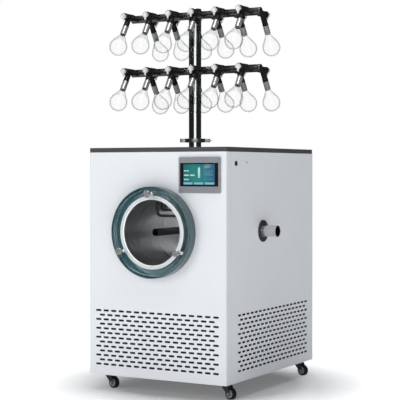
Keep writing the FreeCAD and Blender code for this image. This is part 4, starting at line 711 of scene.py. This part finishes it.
# ------------------------------------------------------------------ light
world = bpy.data.worlds.new("studio")
bpy.context.scene.world = world
world.use_nodes = True
nt = world.node_tree
nt.nodes.clear()
out = nt.nodes.new("ShaderNodeOutputWorld")
bg_see = nt.nodes.new("ShaderNodeBackground")
bg_see.inputs[0].default_value = (1, 1, 1, 1)
bg_see.inputs[1].default_value = 1.0
bg_fill = nt.nodes.new("ShaderNodeBackground")
bg_fill.inputs[0].default_value = (0.85, 0.925, 1.0, 1)
bg_fill.inputs[1].default_value = 0.094
bg_shine = nt.nodes.new("ShaderNodeBackground")
bg_shine.inputs[0].default_value = (0.9, 0.95, 1.0, 1)
level = nt.nodes.new("ShaderNodeTexCoord")
up = nt.nodes.new("ShaderNodeSeparateXYZ")
nt.links.new(level.outputs["Generated"], up.inputs[0])
tall = nt.nodes.new("ShaderNodeMath")
tall.operation = "ABSOLUTE"
nt.links.new(up.outputs[2], tall.inputs[0])
ramp = nt.nodes.new("ShaderNodeMapRange")
for k, v in zip(("From Min", "From Max", "To Min", "To Max"), (0.25, 0.65, 0.018, 0.11)):
    ramp.inputs[k].default_value = v
nt.links.new(tall.outputs[0], ramp.inputs["Value"])
nt.links.new(ramp.outputs["Result"], bg_shine.inputs[1])
path = nt.nodes.new("ShaderNodeLightPath")
m1 = nt.nodes.new("ShaderNodeMixShader")
m2 = nt.nodes.new("ShaderNodeMixShader")
seen = nt.nodes.new("ShaderNodeMath")
seen.operation = "MAXIMUM"
nt.links.new(path.outputs["Is Camera Ray"], seen.inputs[0])
nt.links.new(path.outputs["Is Transmission Ray"], seen.inputs[1])
nt.links.new(path.outputs["Is Glossy Ray"], m1.inputs[0])
nt.links.new(bg_fill.outputs[0], m1.inputs[1])
nt.links.new(bg_shine.outputs[0], m1.inputs[2])
nt.links.new(seen.outputs[0], m2.inputs[0])
nt.links.new(m1.outputs[0], m2.inputs[1])
nt.links.new(bg_see.outputs[0], m2.inputs[2])
nt.links.new(m2.outputs[0], out.inputs[0])


def lamp(name, at, look, size, power, colour=(1, 1, 1), wide=None, shine=True):
    d = bpy.data.lights.new(name, "AREA")
    d.shape = "RECTANGLE" if wide else "SQUARE"
    d.size = wide or size
    if wide:
        d.size_y = size
    d.energy = power
    d.color = colour
    o = bpy.data.objects.new(name, d)
    bpy.context.scene.collection.objects.link(o)
    o.location = at
    o.rotation_euler = (Vector(look) - Vector(at)).to_track_quat("-Z", "Y").to_euler()
    o.visible_camera = False
    o.visible_glossy = shine
    return o


lamp("key", (-2.3, -5.4, 2.5), (0, 0, 0.9), 3.2, 87.0, (0.98, 0.99, 1.0), wide=3.0, shine=False)
lamp("side", (4.6, 0.6, 2.4), (0, 0, 0.9), 3.0, 0.3, (0.95, 0.975, 1.0), wide=1.2, shine=False)
lamp("top", (0.0, 0.6, 4.8), (0, 0, 0.0), 3.5, 36.0, (1.0, 1.0, 1.0), wide=3.5, shine=False)
lamp("front", (2.55, -4.55, 1.55), (0, 0, 1.25), 3.4, 48.0, (1.0, 1.0, 1.0), wide=3.6)
lamp("gloss", (0.7, -1.5, 4.3), (0, -0.1, 1.6), 1.5, 26.0, (1.0, 1.0, 1.0), wide=1.5)
lamp("inside", tuple(C(98, -432, ZC - 20)), tuple(C(-90, 0, ZC + 10)), 0.12, 0.78, (0.98, 1.0, 1.0), wide=0.03)

bpy.context.scene.view_settings.view_transform = "Standard"
bpy.context.scene.view_settings.look = "None"
